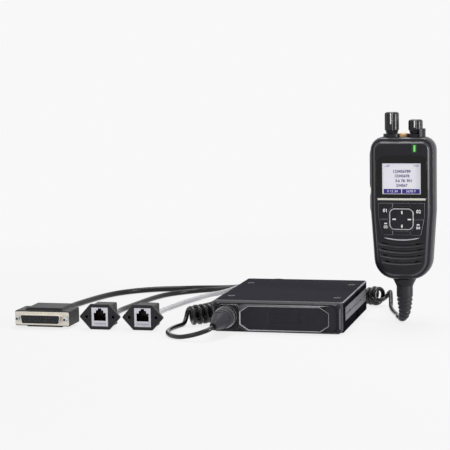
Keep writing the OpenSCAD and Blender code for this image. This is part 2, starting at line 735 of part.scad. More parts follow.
module dsub_posts() color(steel) dsub_place() post_places() difference() {
    union() {
        rotate([90, 0, 0]) cylinder(r = 2.7, h = 2.2, $fn = 6);
        rod_y(-4.6, 0, 1.9);
        rod_y(0, 7, 1.4);
    }
    rod_y(-5, 3, 1.1);
}

module dsub_hood() color(black) dsub_place() difference() {
    union() {
        // block round the connector and taper to the cable
        along_y(1 + eps, hood_d) round_rect(hood_w, hood_h, 1);
        hull() {
            along_y(hood_d - 1, hood_d) round_rect(hood_w - 12, hood_h - 1, 1);
            along_y(hood_d + 9, hood_d + 10) round_rect(18, hood_h - 2, 2);
        }
        // raised panels above and below
        hull() {
            along_y(7, hood_d + 8) square([34, hood_h + 2 * hood_bump], center = true);
            along_y(5, hood_d + 9) square([38, hood_h], center = true);
        }
        rod_y(hood_d + 5, hood_d + 16, 5.4);
    }
    // room for the insert and the screws, and the cable's bore
    along_y(0, 12) square([42, 9.4], center = true);
    post_places() rod_y(0, 10, 2);
    rod_y(hood_d + 16 - 8, hood_d + 17, data_d / 2 + 0.05);
}

// ================= network sockets =================
// Hexagonal flange outline with softened points
module flange_shape() hull() {
    for (s = [-1, 1]) {
        translate([s * (flange_w / 2 - 1.5), 0]) circle(1.5, $fn = 24);
        for (t = [-1, 1]) translate([s * (flange_w / 4 - 1), t * (flange_h / 2 - 1)]) circle(1, $fn = 24);
    }
}

// T-shaped mouth, with the latch notch upward
module mouth_shape() translate([0, 0.1]) {
    square([mouth_w, mouth_h], center = true);
    translate([-7.4 / 2, 0]) square([7.4, mouth_h / 2 + 2.4]);
    translate([-3.7 / 2, 0]) square([3.7, mouth_h / 2 + 4.2]);
}

module flange_hole_places() for (s = [-1, 1]) translate([s * flange_pitch / 2, 0, 0]) children();

module socket_flange() difference() {
    union() {
        along_y(0, flange_t) flange_shape();
        // body behind the flange
        along_y(flange_t - eps, 23) round_rect(jack_w + 3.4, jack_h + 3.4, 1.2);
        flange_hole_places() rod_y(flange_t - eps, flange_t + nut_boss, 2.7);
        rod_y(22, 30, 4.6);
    }
    along_y(-1, jack_d + fit_gap) square([jack_w + fit_gap, jack_h + fit_gap], center = true);
    flange_hole_places() rod_y(-1, flange_t + nut_boss + 1, 1.6);
    rod_y(25, 31, lan_a_d / 2 + 0.05);
}

module socket_jack() difference() {
    along_y(0, jack_d) square([jack_w, jack_h], center = true);
    along_y(-1, 13) mouth_shape();
    // relief across the lower part of the face
    along_y(-1, 0.4) translate([0, -jack_h / 2 + 2.4]) square([mouth_w, 1.6], center = true);
}

module at_socket_a() translate([socket_a_x, socket_a_y, flange_h / 2]) children();
module at_socket_b() translate([socket_b_x, socket_b_y, flange_h / 2]) children();

module socket_a_flange() color(black) at_socket_a() socket_flange();
module socket_b_flange() color(black) at_socket_b() socket_flange();
module socket_a_jack() color(pale) at_socket_a() socket_jack();
module socket_b_jack() color(pale) at_socket_b() socket_jack();

// Eight sprung contacts in each jack, standing up from the mouth's floor
module contact_row() for (k = [0:7]) translate([(k - 3.5) * 1.02, 9.5, -mouth_h / 2 + 1.9])
    rotate([24, 0, 0]) cube([0.4, 7, 0.4], center = true);

module jack_contacts() color(gold) {
    at_socket_a() contact_row();
    at_socket_b() contact_row();
}

// ================= handset =================
module at_handset() translate([hs_x, hs_y, hs_z]) rotate([0, 0, hs_yaw]) children();

// Front outline, drawn in X and Z, drawn in by i all round
function hs_outline(i) = concat(
    [[hs_w / 2 - i, taper_z]],
    arc(hs_w / 2 - top_r, hs_h - top_r, top_r - i, 0, 90, 7),
    arc(-hs_w / 2 + top_r, hs_h - top_r, top_r - i, 90, 180, 7),
    [[-hs_w / 2 + i, taper_z]],
    arc(-low_half + low_r, low_r, low_r - i, 180 + taper_a, 270, 8),
    arc(low_half - low_r, low_r, low_r - i, 270, 360 - taper_a, 8));

function hs_ring(y, i) = [for (p = hs_outline(i)) [p[0], y, p[1]]];

// Key field outline, narrower at the bottom, drawn in by i
function keys_points(i) = let (a = keys_w / 2 - i, b = keys_low_w / 2 - i, h = keys_h / 2 - i)
    [[a, h], [-a, h], [-a, 2], [-b, -h + 0.6], [-b + 1, -h], [b - 1, -h], [b, -h + 0.6], [a, 2]];

// Curved slot or lip: a band of an arc that sags in the middle
module smile(z, w, t, r) translate([0, z]) intersection() {
    difference() {
        translate([0, r]) circle(r + t / 2, $fn = 180);
        translate([0, r]) circle(r - t / 2, $fn = 180);
    }
    translate([-w / 2, -t]) square([w, t * 2 + w * w / 8 / r]);
}

// Sunken louvre: a revolved cut, open to the front
module louvre(z, w) intersection() {
    translate([0, 0, z + grille_r]) turned_y([[grille_r - 1.5, face_y - 1], [grille_r + 3, face_y - 1],
        [grille_r + 1, face_y + 1], [grille_r - 1.2, face_y + 1]], $fn = 180);
    translate([-w / 2, face_y - 2, z - 3]) cube([w, 5, 3 + w * w / 4 / grille_r]);
}

module window_shape(w, h, r) {
    translate([0, -r / 2]) square([w, h - r], center = true);
    translate([0, h / 2 - r / 2]) square([w - 2 * r, r], center = true);
    for (s = [-1, 1]) translate([s * (w / 2 - r), h / 2 - r]) circle(r);
}

module front_case() color(black) at_handset() difference() {
    union() {
        // raised face plate with a bevel, a shadow groove, then the flared side
        skin([hs_ring(face_y, plate_in), hs_ring(face_y + 0.3, plate_in - 0.6),
            hs_ring(face_y + 2, groove_in + 0.5), hs_ring(face_y + 2.6, groove_in + 0.3),
            hs_ring(face_y + 3.1, groove_in + 0.6), hs_ring(face_y + 3.3, groove_in),
            hs_ring(face_y + 4.4, 1.5), hs_ring(face_y + 5.6, 0.7), hs_ring(seam_y, 0.3)]);
        // lip under the keys
        along_y(face_y - 0.7, face_y + 1) smile(lip_z, keys_low_w - 3.5, 1.5, lip_r);
    }
    // cavity round the four screw bosses
    difference() {
        union() {
            along_y(wall_y, face_y + 5.8) polygon(hs_outline(groove_in + 1.6));
            along_y(face_y + 5.8 - eps, seam_y + 1) polygon(hs_outline(hs_wall + 0.3));
        }
        case_screw_places() rod_y(wall_y - 1, seam_y, boss_r);
    }
    case_screw_places() rod_y(wall_y, seam_y + 1, 1.45);
    // window seat and display opening
    along_y(face_y - 1, face_y + window_t + 0.1) translate([0, window_z])
        window_shape(window_w + 2 * fit_gap, window_h + 2 * fit_gap, 7);
    along_y(face_y - 1, wall_y + 1) translate([0, lcd_z])
        square([lcd_w + 1.4, lcd_h + 1.4], center = true);
    // lamp slot, accent groove, key opening
    along_y(face_y - 1, wall_y + 1) translate([lamp_x, lamp_z])
        square([lamp_w + fit_gap, lamp_h + fit_gap], center = true);
    along_y(face_y - 1, face_y + 1) translate([0, bar_z])
        square([bar_w + fit_gap, bar_t + fit_gap], center = true);
    along_y(face_y - 1, wall_y + 1) translate([0, keys_z]) polygon(keys_points(0));
    // speaker slots in louvres with a sloping lower side
    for (k = [0:slot_count - 1]) {
        louvre(grille_z - k * slot_pitch, slot_w(k));
        along_y(face_y - 1, wall_y + 1) smile(grille_z - k * slot_pitch, slot_w(k) - 5, 1.3, grille_r);
    }
}

module rear_case() color(black) at_handset() {
    difference() {
        union() {
            skin([hs_ring(seam_y + seal_t, 0.3), hs_ring(-5, 0), hs_ring(2, 0), hs_ring(8, 1.2),
                hs_ring(12, 3), hs_ring(hs_d / 2 - 1.4, 5.4), hs_ring(hs_d / 2, 8.6)]);
            // collars under the knobs
            knob_places() translate([0, 0, hs_h - 3]) cylinder(d = collar_d, h = 3 + collar_h);
            // guard wall beside the volume knob
            translate([knob_pitch / 2, knob_y, hs_h - 3]) guard_wall();
        }
        // cavity round the four screw bosses
        difference() {
            skin([hs_ring(seam_y, hs_wall + 0.3), hs_ring(2, hs_wall), hs_ring(8, 3.6), hs_ring(12, 5.8),
                hs_ring(hs_d / 2 - 2.4, 8.4)]);
            case_screw_places() rod_y(seam_y + seal_t, hs_d / 2, boss_r);
        }
        // openings for the side keys and the emergency key
        ptt_cut(ptt_z, ptt_l, ptt_h);
        ptt_cut(side_z, side_l, side_h);
        translate([0, knob_y, hs_h])
            cube([button_w + 2 * key_gap, button_d + 2 * key_gap, 14], center = true);
        // encoder bushings
        knob_places() translate([0, 0, hs_h - 6]) cylinder(d = bushing_d + fit_gap, h = 14);
        // neck socket
        translate([0, 0, -1]) cylinder(d = 12 + fit_gap, h = 6);
        // case screws
        case_screw_places() {
            rod_y(seam_y - 1, hs_d / 2 + 1, 1.6);
            rod_y(hs_d / 2 - 1.2, hs_d / 2 + 1, 3);
        }
    }
    // hanger stud moulded on the back
    translate([0, 0, stud_z]) turned_y([[0, hs_d / 2 - 1], [3.4, hs_d / 2 - 1], [3.4, hs_d / 2 + 3],
        [6.5, hs_d / 2 + 3], [6.5, hs_d / 2 + 5], [5.9, hs_d / 2 + 5.6], [0, hs_d / 2 + 5.6]]);
    // tapered collar round the cord boot
    difference() {
        rotate_extrude() polygon([[0, 1], [neck_d / 2, 1], [neck_d / 2, -0.4],
            [boot_d / 2 + 0.5, -6], [boot_d / 2 + 0.5, -6.6], [0, -6.6]]);
        translate([0, 0, -7]) cylinder(d = 12 + fit_gap, h = 9);
        translate([-20, seam_y - 20 + seal_t, 0]) cube([40, 20, 3]);
    }
}

module guard_wall() intersection() {
    difference() {
        cylinder(r = knob_d / 2 + 2.5, h = 10.2);
        translate([0, 0, -1]) cylinder(r = knob_d / 2 + 0.8, h = 13);
    }
    translate([4.4, -8, 0]) cube([8, 16, 12]);
}

module knob_places() for (s = [-1, 1]) translate([s * knob_pitch / 2, knob_y, 0]) children();

module case_screw_places() for (s = [-1, 1]) {
    translate([s * boss_top_x, 0, hs_h - 17]) children();
    translate([s * boss_low_x, 0, 10.5]) children();
}

// Opening in the left wall
module ptt_cut(z, l, h) translate([-hs_w / 2, side_y, z])
    cube([12, h + 2 * key_gap, l + 2 * key_gap], center = true);

module case_seal() color(grey) at_handset() along_y(seam_y, seam_y + seal_t) difference() {
    polygon(hs_outline(0.9));
    polygon(hs_outline(hs_wall + 0.1));
}

module case_screws() color(steel) at_handset() case_screw_places() difference() {
    union() {
        rod_y(wall_y + 1, hs_d / 2 - 1.2, 1.4);
        rod_y(hs_d / 2 - 1.2, hs_d / 2 - 0.3, 2.8);
    }
    translate([0, hs_d / 2 - 0.3, 0]) cube([0.7, 1, 3], center = true);
}

module display_window() color(black) at_handset() difference() {
    along_y(face_y, face_y + window_t) translate([0, window_z]) window_shape(window_w, window_h, 6.8);
    along_y(face_y - 1, face_y + 2) translate([0, lcd_z]) square([lcd_w, lcd_h], center = true);
}

module lcd_panel() color(pale) at_handset() translate([0, 0, lcd_z]) {
    along_y(face_y + lcd_sink, wall_y + 1.6) square([lcd_w - 0.2, lcd_h - 0.2], center = true);
    along_y(wall_y + fit_gap, wall_y + 3) round_rect(lcd_w + 5, lcd_h + 5, 0.8);
}

module led_lens() color([0.3, 0.85, 0.3]) at_handset() translate([lamp_x, 0, lamp_z])
    along_y(face_y - 0.2, wall_y + 3) round_rect(lamp_w, lamp_h, 0.8);

module accent_bar() color(pale) at_handset() translate([0, 0, bar_z])
    along_y(face_y - 0.3, face_y + 1) square([bar_w, bar_t], center = true);

// Flat outline of one corner key; sx and sz pick the corner
module key_shape(sx, sz) difference() {
    polygon(keys_points(key_gap));
    // other three quarters
    translate([-sx * keys_w, 0]) square([2 * keys_w, 2 * keys_h], center = true);
    translate([0, -sz * (keys_h - key_gap)]) square([2 * keys_w, 2 * keys_h], center = true);
    // strips and four-way pad
    square([strip_w + key_gap, 2 * keys_h], center = true);
    round_rect(dpad_w + 1, dpad_h + 1, 5.2);
}

module corner_key(sx, sz) at_handset() translate([0, 0, keys_z]) {
    along_y(face_y - key_proud, face_y - key_proud + key_t) key_shape(sx, sz);
    translate([sx * (dpad_w + keys_w - 3) / 4, 0, sz * 7.5])
        rod_y(face_y - key_proud + key_t - eps, face_y - key_proud + key_t + 0.8, 2.2);
}

module key_upper_left() color(dark) corner_key(-1, 1);
module key_upper_right() color(dark) corner_key(1, 1);
module key_lower_left() color(dark) corner_key(-1, -1);
module key_lower_right() color(dark) corner_key(1, -1);

// Mat behind the keys, with the two fixed strips above and below the pad
mat_y = wall_y + 1.8;
module mat_shape() intersection() {
    square([keys_w + 2.2, keys_h + 3.6], center = true);
    translate([0, -keys_z]) polygon(hs_outline(groove_in + 1.6 + fit_gap));
}
module keypad_mat() color(dark) at_handset() translate([0, 0, keys_z]) difference() {
    union() {
        along_y(mat_y, mat_y + 1.2) mat_shape();
        along_y(wall_y + eps, mat_y + 0.5) difference() {
            mat_shape();
            square([keys_w + 0.8, keys_h + 0.8], center = true);
        }
        for (s = [-1, 1]) translate([0, 0, s * (keys_h / 2 + dpad_h / 2 + 0.5) / 2])
            along_y(face_y - 0.4, mat_y + 0.5)
                square([strip_w - key_gap, (keys_h - dpad_h) / 2 - 1.2], center = true);
    }
    // hole for the four-way pad's post
    rod_y(wall_y, mat_y + 2, 3.4);
}

// Four-way pad: the rocker tips up and down, the cap tips left and right on it
dpad_pivot_y = mat_y + 0.2;
gimbal_r = 0.9;
module dpad_rocker() color(steel) at_handset() translate([0, dpad_pivot_y, keys_z]) {
    rod_y(-1, 3.4, 1.6);
    // cross pins on the two tipping axes
    translate([-2.8, 0, 0]) rotate([0, 90, 0]) cylinder(r = gimbal_r, h = 5.6);
    translate([0, 0, -2.4]) cylinder(r = gimbal_r, h = 4.8);
}

module dpad_cap() color(dark) at_handset() translate([0, 0, keys_z]) difference() {
    union() {
        hull() {
            along_y(face_y - 1.2, face_y + 0.8) round_rect(dpad_w - 1.2, dpad_h - 1.2, 4.4);
            along_y(face_y - 0.6, face_y + 0.8) round_rect(dpad_w, dpad_h, 5);
        }
        rod_y(face_y, dpad_pivot_y - 0.2, 3);
    }
    // shallow dish
    translate([0, face_y - 41.6, 0]) sphere(r = 41, $fn = 96);
    rod_y(dpad_pivot_y - 1.5, dpad_pivot_y + 1, 1.6 + turn_gap);
    // seat on the upright pin, with room for the level one
    translate([0, dpad_pivot_y, -2.5]) cylinder(r = gimbal_r + turn_gap, h = 5);
    translate([-3.2, dpad_pivot_y, 0]) rotate([0, 90, 0]) cylinder(r = gimbal_r + 0.3, h = 6.4);
}

module handset_board() color(green) at_handset() difference() {
    union() {
        along_y(-3, -1.8) translate([0, hs_h / 2 + 1.7])
            square([hs_w - 13, hs_h - 32.8], center = true);
        // shield cans and switch domes
        along_y(-1.8, 3) translate([0, lcd_z - 1]) square([lcd_w - 4, lcd_h + 8], center = true);
        along_y(-1.8, 2) translate([4, keys_z - 9.6])
            square([dpad_w + 1.6, dpad_h + 1.4], center = true);
        along_y(-7.2, -3) translate([0, lcd_z]) square([lcd_w, lcd_h * 0.7], center = true);
        along_y(mat_y + 1.4, -3) translate([0, keys_z]) square([dpad_w - 3, dpad_h * 0.4], center = true);
    }
    translate([0, 0, keys_z]) rod_y(dpad_pivot_y - 2, dpad_pivot_y + 4, 2.2);
    case_screw_places() rod_y(-5, 4, boss_r + 0.3);
}

module speaker() color(steel) at_handset() translate([0, 0, speaker_z]) difference() {
    union() {
        rod_y(wall_y + eps, wall_y + 3, speaker_r);
        rod_y(wall_y + 2, -3.2, speaker_r - 5);
    }
    rod_y(wall_y - 1, wall_y + 1.2, speaker_r - 1.9);
}

// Side button: l long, h deep, standing proud of the left wall, with a retaining lip
module side_button(z, l, h) at_handset() translate([-hs_w / 2, side_y, z]) {
    // chamfered crown
    hull() {
        translate([2.4, 0, 0]) rotate([0, -90, 0]) linear_extrude(3) round_rect(l, h, h / 2.2);
        translate([2.4, 0, 0]) rotate([0, -90, 0]) linear_extrude(3.5) round_rect(l - 5, h - 3, h / 3.2);
    }
    translate([hs_wall + 0.4, -h / 2 - 0.7, -l / 2 - 0.7]) cube([1, h + 1.4, l + 1.4]);
    translate([1, -h / 2 + 2, -l / 2 + 2]) cube([hs_wall, h - 4, l - 4]);
}

module ptt_button() color(dark) side_button(ptt_z, ptt_l, ptt_h);
module side_key() color(dark) side_button(side_z, side_l, side_h);

module emergency_button() color([0.95, 0.5, 0.15]) at_handset() translate([0, knob_y, hs_h - 4.4]) {
    hull() {
        round_block(button_w, button_d, 7, 1.5);
        round_block(button_w - 2, button_d - 2, 7.8, 1.5);
    }
    // retaining lip under the wall
    translate([0, 0, -button_lip]) round_block(button_w + 2, button_d + 2, button_lip + eps, 1);
}

module encoders() color(steel) at_handset() knob_places() difference() {
    union() {
        translate([-5.5, -3.6, hs_h - 14]) cube([11, 9.4, 6]);
        translate([0, 0, hs_h - 9]) cylinder(d = bushing_d, h = 9 + collar_h - 0.4);
    }
    translate([0, 0, hs_h - 12]) cylinder(d = shaft_d + 2 * turn_gap, h = 20);
}

// Fluted knob of height h with its shaft; the pointer groove faces the front
module knob(h) {
    difference() {
        rotate_extrude() polygon([[0, 0], [knob_d / 2 - 1.2, 0], [knob_d / 2 - 0.8, 2],
            [knob_d / 2, 3.4], [knob_d / 2, h - 1.6], [knob_d / 2 - 0.5, h - 0.5],
            [knob_d / 2 - 1.6, h], [knob_d / 2 - 2.4, h - 0.5], [0, h - 0.5]]);
        for (k = [0:7]) rotate(k * 45 + 22.5 + pointer_a) translate([knob_d / 2 + 1.5, 0, 3])
            cylinder(r = 2.2, h = h, $fn = 24);
        rotate(pointer_a) translate([-0.5, -knob_d / 2 - 1, h * 0.45]) cube([1, 1.4, h]);
    }
    translate([0, 0, -collar_h - 8.6]) cylinder(d = shaft_d, h = collar_h + 8.7);
}

module selector_knob() color(black) at_handset()
    translate([-knob_pitch / 2, knob_y, knob_z]) knob(selector_h);
module volume_knob() color(black) at_handset()
    translate([knob_pitch / 2, knob_y, knob_z]) knob(volume_h);

// Boot axis: straight down, then a quarter turn onto the floor
boot_top_z = hs_z - 6.6;
boot_turn_z = boot_end_z + boot_bend_r;
boot_steps = 30;
boot_straight = boot_top_z - boot_turn_z;
boot_arc = boot_bend_r * PI / 2;
function boot_dir() = [cos(boot_az), sin(boot_az), 0];
function boot_point(s) = s <= boot_straight
    ? [hs_x, hs_y, boot_top_z - s]
    : let (a = (s - boot_straight) / boot_bend_r * 180 / PI)
        [hs_x, hs_y, boot_turn_z] + boot_bend_r * (1 - cos(a)) * boot_dir() - [0, 0, boot_bend_r * sin(a)];
function boot_s(k) = k / boot_steps * (boot_straight + boot_arc);
function boot_tip() = boot_point(boot_straight + boot_arc);
// Radius: smooth upper part, then ribs on a taper
function boot_r(k) = let (f = max(0, (boot_s(k) - 8) / (boot_straight + boot_arc - 8)),
        base = boot_d / 2 - (boot_d - boot_end_d) / 2 * pow(f, 1.5))
    base - (f > 0 && f < 0.8 && k % 3 == 0 ? 0.9 : 0);

module cord_boot() color(black) {
    skin(tube_rings([for (k = [0:boot_steps]) boot_point(boot_s(k))],
        [for (k = [0:boot_steps]) boot_r(k)], 24, cross(boot_dir(), [0, 0, 1])));
    translate([hs_x, hs_y, boot_top_z - eps]) cylinder(d = 12, h = 9);
}

chassis();
top_cover();
cover_screws();
front_bezel();
front_pad();
side_rails();
main_board();
board_screws();
radio_module();
heat_spreader();
antenna_connector();
power_inlet();
cable_seal();
ground_screw();
mic_socket();
mic_plug_body();
mic_plug_ring();
mic_plug_boot();
mic_lead();
mic_coil_left();
mic_coil_rear();
mic_coil_right();
mic_tail();
data_cable();
network_cable_a();
network_cable_b();
dsub_shell();
dsub_insert();
dsub_hood();
dsub_posts();
socket_a_flange();
socket_a_jack();
socket_b_flange();
socket_b_jack();
jack_contacts();
front_case();
rear_case();
case_seal();
case_screws();
display_window();
lcd_panel();
led_lens();
accent_bar();
keypad_mat();
key_upper_left();
key_upper_right();
key_lower_left();
key_lower_right();
dpad_rocker();
dpad_cap();
handset_board();
speaker();
ptt_button();
side_key();
emergency_button();
encoders();
selector_knob();
volume_knob();
cord_boot();
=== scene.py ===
"""Looks of a mobile transceiver: main unit, control handset, curly cord and three pigtails."""
import json
import math

import bmesh
import bpy
from mathutils import Matrix, Vector

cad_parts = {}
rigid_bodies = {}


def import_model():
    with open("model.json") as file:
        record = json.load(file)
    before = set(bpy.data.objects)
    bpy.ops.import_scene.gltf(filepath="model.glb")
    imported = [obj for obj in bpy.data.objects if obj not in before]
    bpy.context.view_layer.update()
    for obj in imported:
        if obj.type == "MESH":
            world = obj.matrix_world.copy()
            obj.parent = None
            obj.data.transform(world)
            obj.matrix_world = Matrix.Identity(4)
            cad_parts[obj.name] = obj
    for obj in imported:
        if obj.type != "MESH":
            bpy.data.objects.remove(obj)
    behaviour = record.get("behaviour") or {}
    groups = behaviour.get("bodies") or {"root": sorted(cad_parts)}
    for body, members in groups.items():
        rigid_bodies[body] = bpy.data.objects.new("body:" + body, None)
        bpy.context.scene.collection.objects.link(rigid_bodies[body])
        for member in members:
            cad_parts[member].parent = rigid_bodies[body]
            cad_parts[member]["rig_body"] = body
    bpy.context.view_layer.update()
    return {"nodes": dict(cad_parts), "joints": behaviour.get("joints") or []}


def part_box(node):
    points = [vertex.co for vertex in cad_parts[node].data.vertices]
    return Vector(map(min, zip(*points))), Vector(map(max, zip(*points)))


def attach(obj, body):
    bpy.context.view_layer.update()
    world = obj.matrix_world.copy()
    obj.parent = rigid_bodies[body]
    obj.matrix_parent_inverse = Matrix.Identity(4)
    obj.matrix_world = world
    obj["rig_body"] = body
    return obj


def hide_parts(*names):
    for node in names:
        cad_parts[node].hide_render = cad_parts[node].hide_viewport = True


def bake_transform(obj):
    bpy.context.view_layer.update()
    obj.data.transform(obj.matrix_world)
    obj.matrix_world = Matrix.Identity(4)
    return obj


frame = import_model()
MM = 0.001
NODES = frame["nodes"]
JOINTS = {j["name"]: j for j in frame["joints"]}
MAIN = "main_unit"
HANDSET = "handset"
UP = Vector((0, 0, 1))


# ---------------------------------------------------------------- small helpers
def mm(x, y, z):
    """A place given in millimetres."""
    return Vector((x, y, z)) * MM


def new_object(name, mesh, material, body=None):
    """Puts a mesh in the scene, with its material and the body that it rides on."""
    obj = bpy.data.objects.new(name, mesh)
    bpy.context.scene.collection.objects.link(obj)
    if material:
        mesh.materials.append(material)
    if body:
        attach(obj, body)
    return obj


def ring_faces(rings, sides, start=0, closed=False, flipped=False):
    """Four-sided faces between rings of points that follow each other in a list."""
    faces = []
    for i in range(rings if closed else rings - 1):
        here = start + i * sides
        there = start + (i + 1) % rings * sides
        for k in range(sides):
            j = (k + 1) % sides
            face = [here + k, here + j, there + j, there + k]
            faces.append([face[0], *face[:0:-1]] if flipped else face)
    return faces


def mesh_from(name, verts, faces, smooth=True):
    """A mesh from points in metres, shaded smooth or flat."""
    mesh = bpy.data.meshes.new(name)
    mesh.from_pydata([tuple(v) for v in verts], [], faces)
    mesh.validate()
    for polygon in mesh.polygons:
        polygon.use_smooth = smooth
    return mesh


def modify(obj, kind, **settings):
    """Adds a modifier with its settings."""
    modifier = obj.modifiers.new(kind.lower(), kind)
    for key, value in settings.items():
        setattr(modifier, key, value)
    return modifier


# ---------------------------------------------------------------- materials
PEBBLES_PER_METRE = 2900


def base_material(name, colour, roughness, metallic=0.0, specular=0.5):
    """A Principled material with its constants on the shader's own sockets."""
    material = bpy.data.materials.new(name)
    material.use_nodes = True
    shader = material.node_tree.nodes["Principled BSDF"]
    shader.inputs["Base Color"].default_value = (*colour, 1)
    shader.inputs["Roughness"].default_value = roughness
    shader.inputs["Metallic"].default_value = metallic
    shader.inputs["Specular IOR Level"].default_value = specular
    material.diffuse_color = (*colour, 1)
    return material, material.node_tree.nodes, material.node_tree.links, shader


def noise(nodes, links, scale, detail=2.0, stretch=(1, 1, 1)):
    """Noise in row coordinates; scale is in features per metre."""
    coords = nodes.new("ShaderNodeTexCoord")
    mapping = nodes.new("ShaderNodeMapping")
    mapping.inputs["Scale"].default_value = stretch
    texture = nodes.new("ShaderNodeTexNoise")
    texture.inputs["Scale"].default_value = scale
    texture.inputs["Detail"].default_value = detail
    links.new(coords.outputs["Object"], mapping.inputs["Vector"])
    links.new(mapping.outputs["Vector"], texture.inputs["Vector"])
    return texture


def vary_colour(nodes, links, shader, colour, other, scale, low=0.35, high=0.65):
    """Mottles the surface between two colours."""
    texture = noise(nodes, links, scale, detail=4.0)
    ramp = nodes.new("ShaderNodeValToRGB")
    ramp.color_ramp.elements[0].position = low
    ramp.color_ramp.elements[1].position = high
    ramp.color_ramp.elements[0].color = (*colour, 1)
    ramp.color_ramp.elements[1].color = (*other, 1)
    links.new(texture.outputs["Fac"], ramp.inputs["Fac"])
    links.new(ramp.outputs["Color"], shader.inputs["Base Color"])


def vary_roughness(nodes, links, shader, low, high, scale):
    """Lets the gloss wander between two values."""
    texture = noise(nodes, links, scale, detail=3.0)
    span = nodes.new("ShaderNodeMapRange")
    span.inputs["To Min"].default_value = low
    span.inputs["To Max"].default_value = high
    links.new(texture.outputs["Fac"], span.inputs["Value"])
    links.new(span.outputs["Result"], shader.inputs["Roughness"])


def add_bump(nodes, links, shader, height, strength, distance):
    """Fine relief from a texture; distance is its height in metres."""
    bump = nodes.new("ShaderNodeBump")
    bump.inputs["Strength"].default_value = strength
    bump.inputs["Distance"].default_value = distance
    links.new(height, bump.inputs["Height"])
    links.new(bump.outputs["Normal"], shader.inputs["Normal"])


def textured_paint(name, colour, roughness=0.5, grain=2600, strength=0.25, specular=0.3):
    """Fine-grained paint on sheet metal or a casting."""
    material, nodes, links, shader = base_material(name, colour, roughness, 0, specular)
    lighter = [c * 1.18 + 0.001 for c in colour]
    vary_colour(nodes, links, shader, colour, lighter, scale=900)
    vary_roughness(nodes, links, shader, roughness - 0.06, roughness + 0.08, scale=60)
    grains = noise(nodes, links, grain, detail=3.0)
    add_bump(nodes, links, shader, grains.outputs["Fac"], strength, distance=0.0001)
    return material


def moulded_plastic(name, colour, roughness=0.42, specular=0.35):
    """Spark-eroded black plastic: a fine pebble grain and slight handling sheen."""
    material, nodes, links, shader = base_material(name, colour, roughness, 0, specular)
    lighter = [c * 1.15 + 0.0008 for c in colour]
    vary_colour(nodes, links, shader, colour, lighter, scale=120)
    vary_roughness(nodes, links, shader, roughness - 0.05, roughness + 0.07, scale=35)
    coords = nodes.new("ShaderNodeTexCoord")
    pebble = nodes.new("ShaderNodeTexVoronoi")
    pebble.inputs["Scale"].default_value = PEBBLES_PER_METRE
    links.new(coords.outputs["Object"], pebble.inputs["Vector"])
    add_bump(nodes, links, shader, pebble.outputs["Distance"], strength=0.16, distance=0.00008)
    return material


def rubber(name, colour, roughness=0.5, specular=0.35):
    """Soft black rubber or silicone with a dusty sheen."""
    material, nodes, links, shader = base_material(name, colour, roughness, 0, specular)
    dusty = [c * 1.35 + 0.002 for c in colour]
    vary_colour(nodes, links, shader, colour, dusty, scale=70, low=0.4, high=0.75)
    vary_roughness(nodes, links, shader, roughness - 0.08, roughness + 0.1, scale=90)
    grains = noise(nodes, links, scale=1500, detail=2.0)
    add_bump(nodes, links, shader, grains.outputs["Fac"], strength=0.12, distance=0.00008)
    shader.inputs["Sheen Weight"].default_value = 0.08
    shader.inputs["Sheen Roughness"].default_value = 0.5
    return material


def jacket(name, colour, roughness=0.3, specular=0.5, mottle=1.12):
    """Extruded cable jacket: smooth, with faint draw waves; mottle is its palest share."""
    material, nodes, links, shader = base_material(name, colour, roughness, 0, specular)
    lighter = [c * mottle + 0.001 for c in colour]
    vary_colour(nodes, links, shader, colour, lighter, scale=200)
    vary_roughness(nodes, links, shader, roughness - 0.04, roughness + 0.06, scale=120)
    waves = noise(nodes, links, scale=160, detail=1.0)
    add_bump(nodes, links, shader, waves.outputs["Fac"], strength=0.05, distance=0.0001)
    return material


def metal(name, colour, roughness=0.25, brushed=(1, 1, 1), grain=700, strength=0.08):
    """Plated or machined metal with fine brushing along one way."""
    material, nodes, links, shader = base_material(name, colour, roughness, 1.0, 0.5)
    darker = [c * 0.86 for c in colour]
    vary_colour(nodes, links, shader, colour, darker, scale=90, low=0.3, high=0.8)
    vary_roughness(nodes, links, shader, roughness - 0.06, roughness + 0.1, scale=300)
    scratches = noise(nodes, links, grain, detail=4.0, stretch=brushed)
    add_bump(nodes, links, shader, scratches.outputs["Fac"], strength, distance=0.00006)
    return material


def glossy(name, colour, roughness=0.12, specular=0.5):
    """Polished plastic or a printed face behind a clear layer."""
    material, nodes, links, shader = base_material(name, colour, roughness, 0, specular)
    lighter = [c * 1.08 + 0.0005 for c in colour]
    vary_colour(nodes, links, shader, colour, lighter, scale=150)
    vary_roughness(nodes, links, shader, max(0.02, roughness - 0.04), roughness + 0.05, scale=60)
    return material


def lit(name, colour, glow, strength):
    """A lit surface: display, bar or lamp."""
    material, nodes, links, shader = base_material(name, colour, 0.25, 0, 0.3)
    darker = [c * 0.96 for c in colour]
    vary_colour(nodes, links, shader, colour, darker, scale=60)
    shader.inputs["Emission Color"].default_value = (*glow, 1)
    shader.inputs["Emission Strength"].default_value = strength
    return material


# each finish: name, colour, roughness and specular level, or the settings of its function
CASE = textured_paint("case_paint", (0.0065, 0.0062, 0.0085), 0.75, 2600, 0.25, 0.0)
# painted highlight: a lighter finish for the chassis's rounded edges
CASE_EDGE_HIGHLIGHT = glossy("case_edge_highlight", (0.06, 0.059, 0.068), 0.35, 0.4)
COVER = textured_paint("cover_paint", (0.030, 0.0292, 0.037), 0.8, 3000, 0.3, 0.005)
# painted highlights: lighter finishes for the cover's rounded edges and for its chamfer
COVER_EDGE_HIGHLIGHT = glossy("cover_edge_highlight", (0.16, 0.158, 0.17), 0.35, 0.4)
COVER_CHAMFER_HIGHLIGHT = glossy("cover_chamfer_highlight", (0.22, 0.218, 0.235), 0.35, 0.4)
BEZEL = moulded_plastic("bezel_plastic", (0.014, 0.0135, 0.0175), 0.42, 0.22)
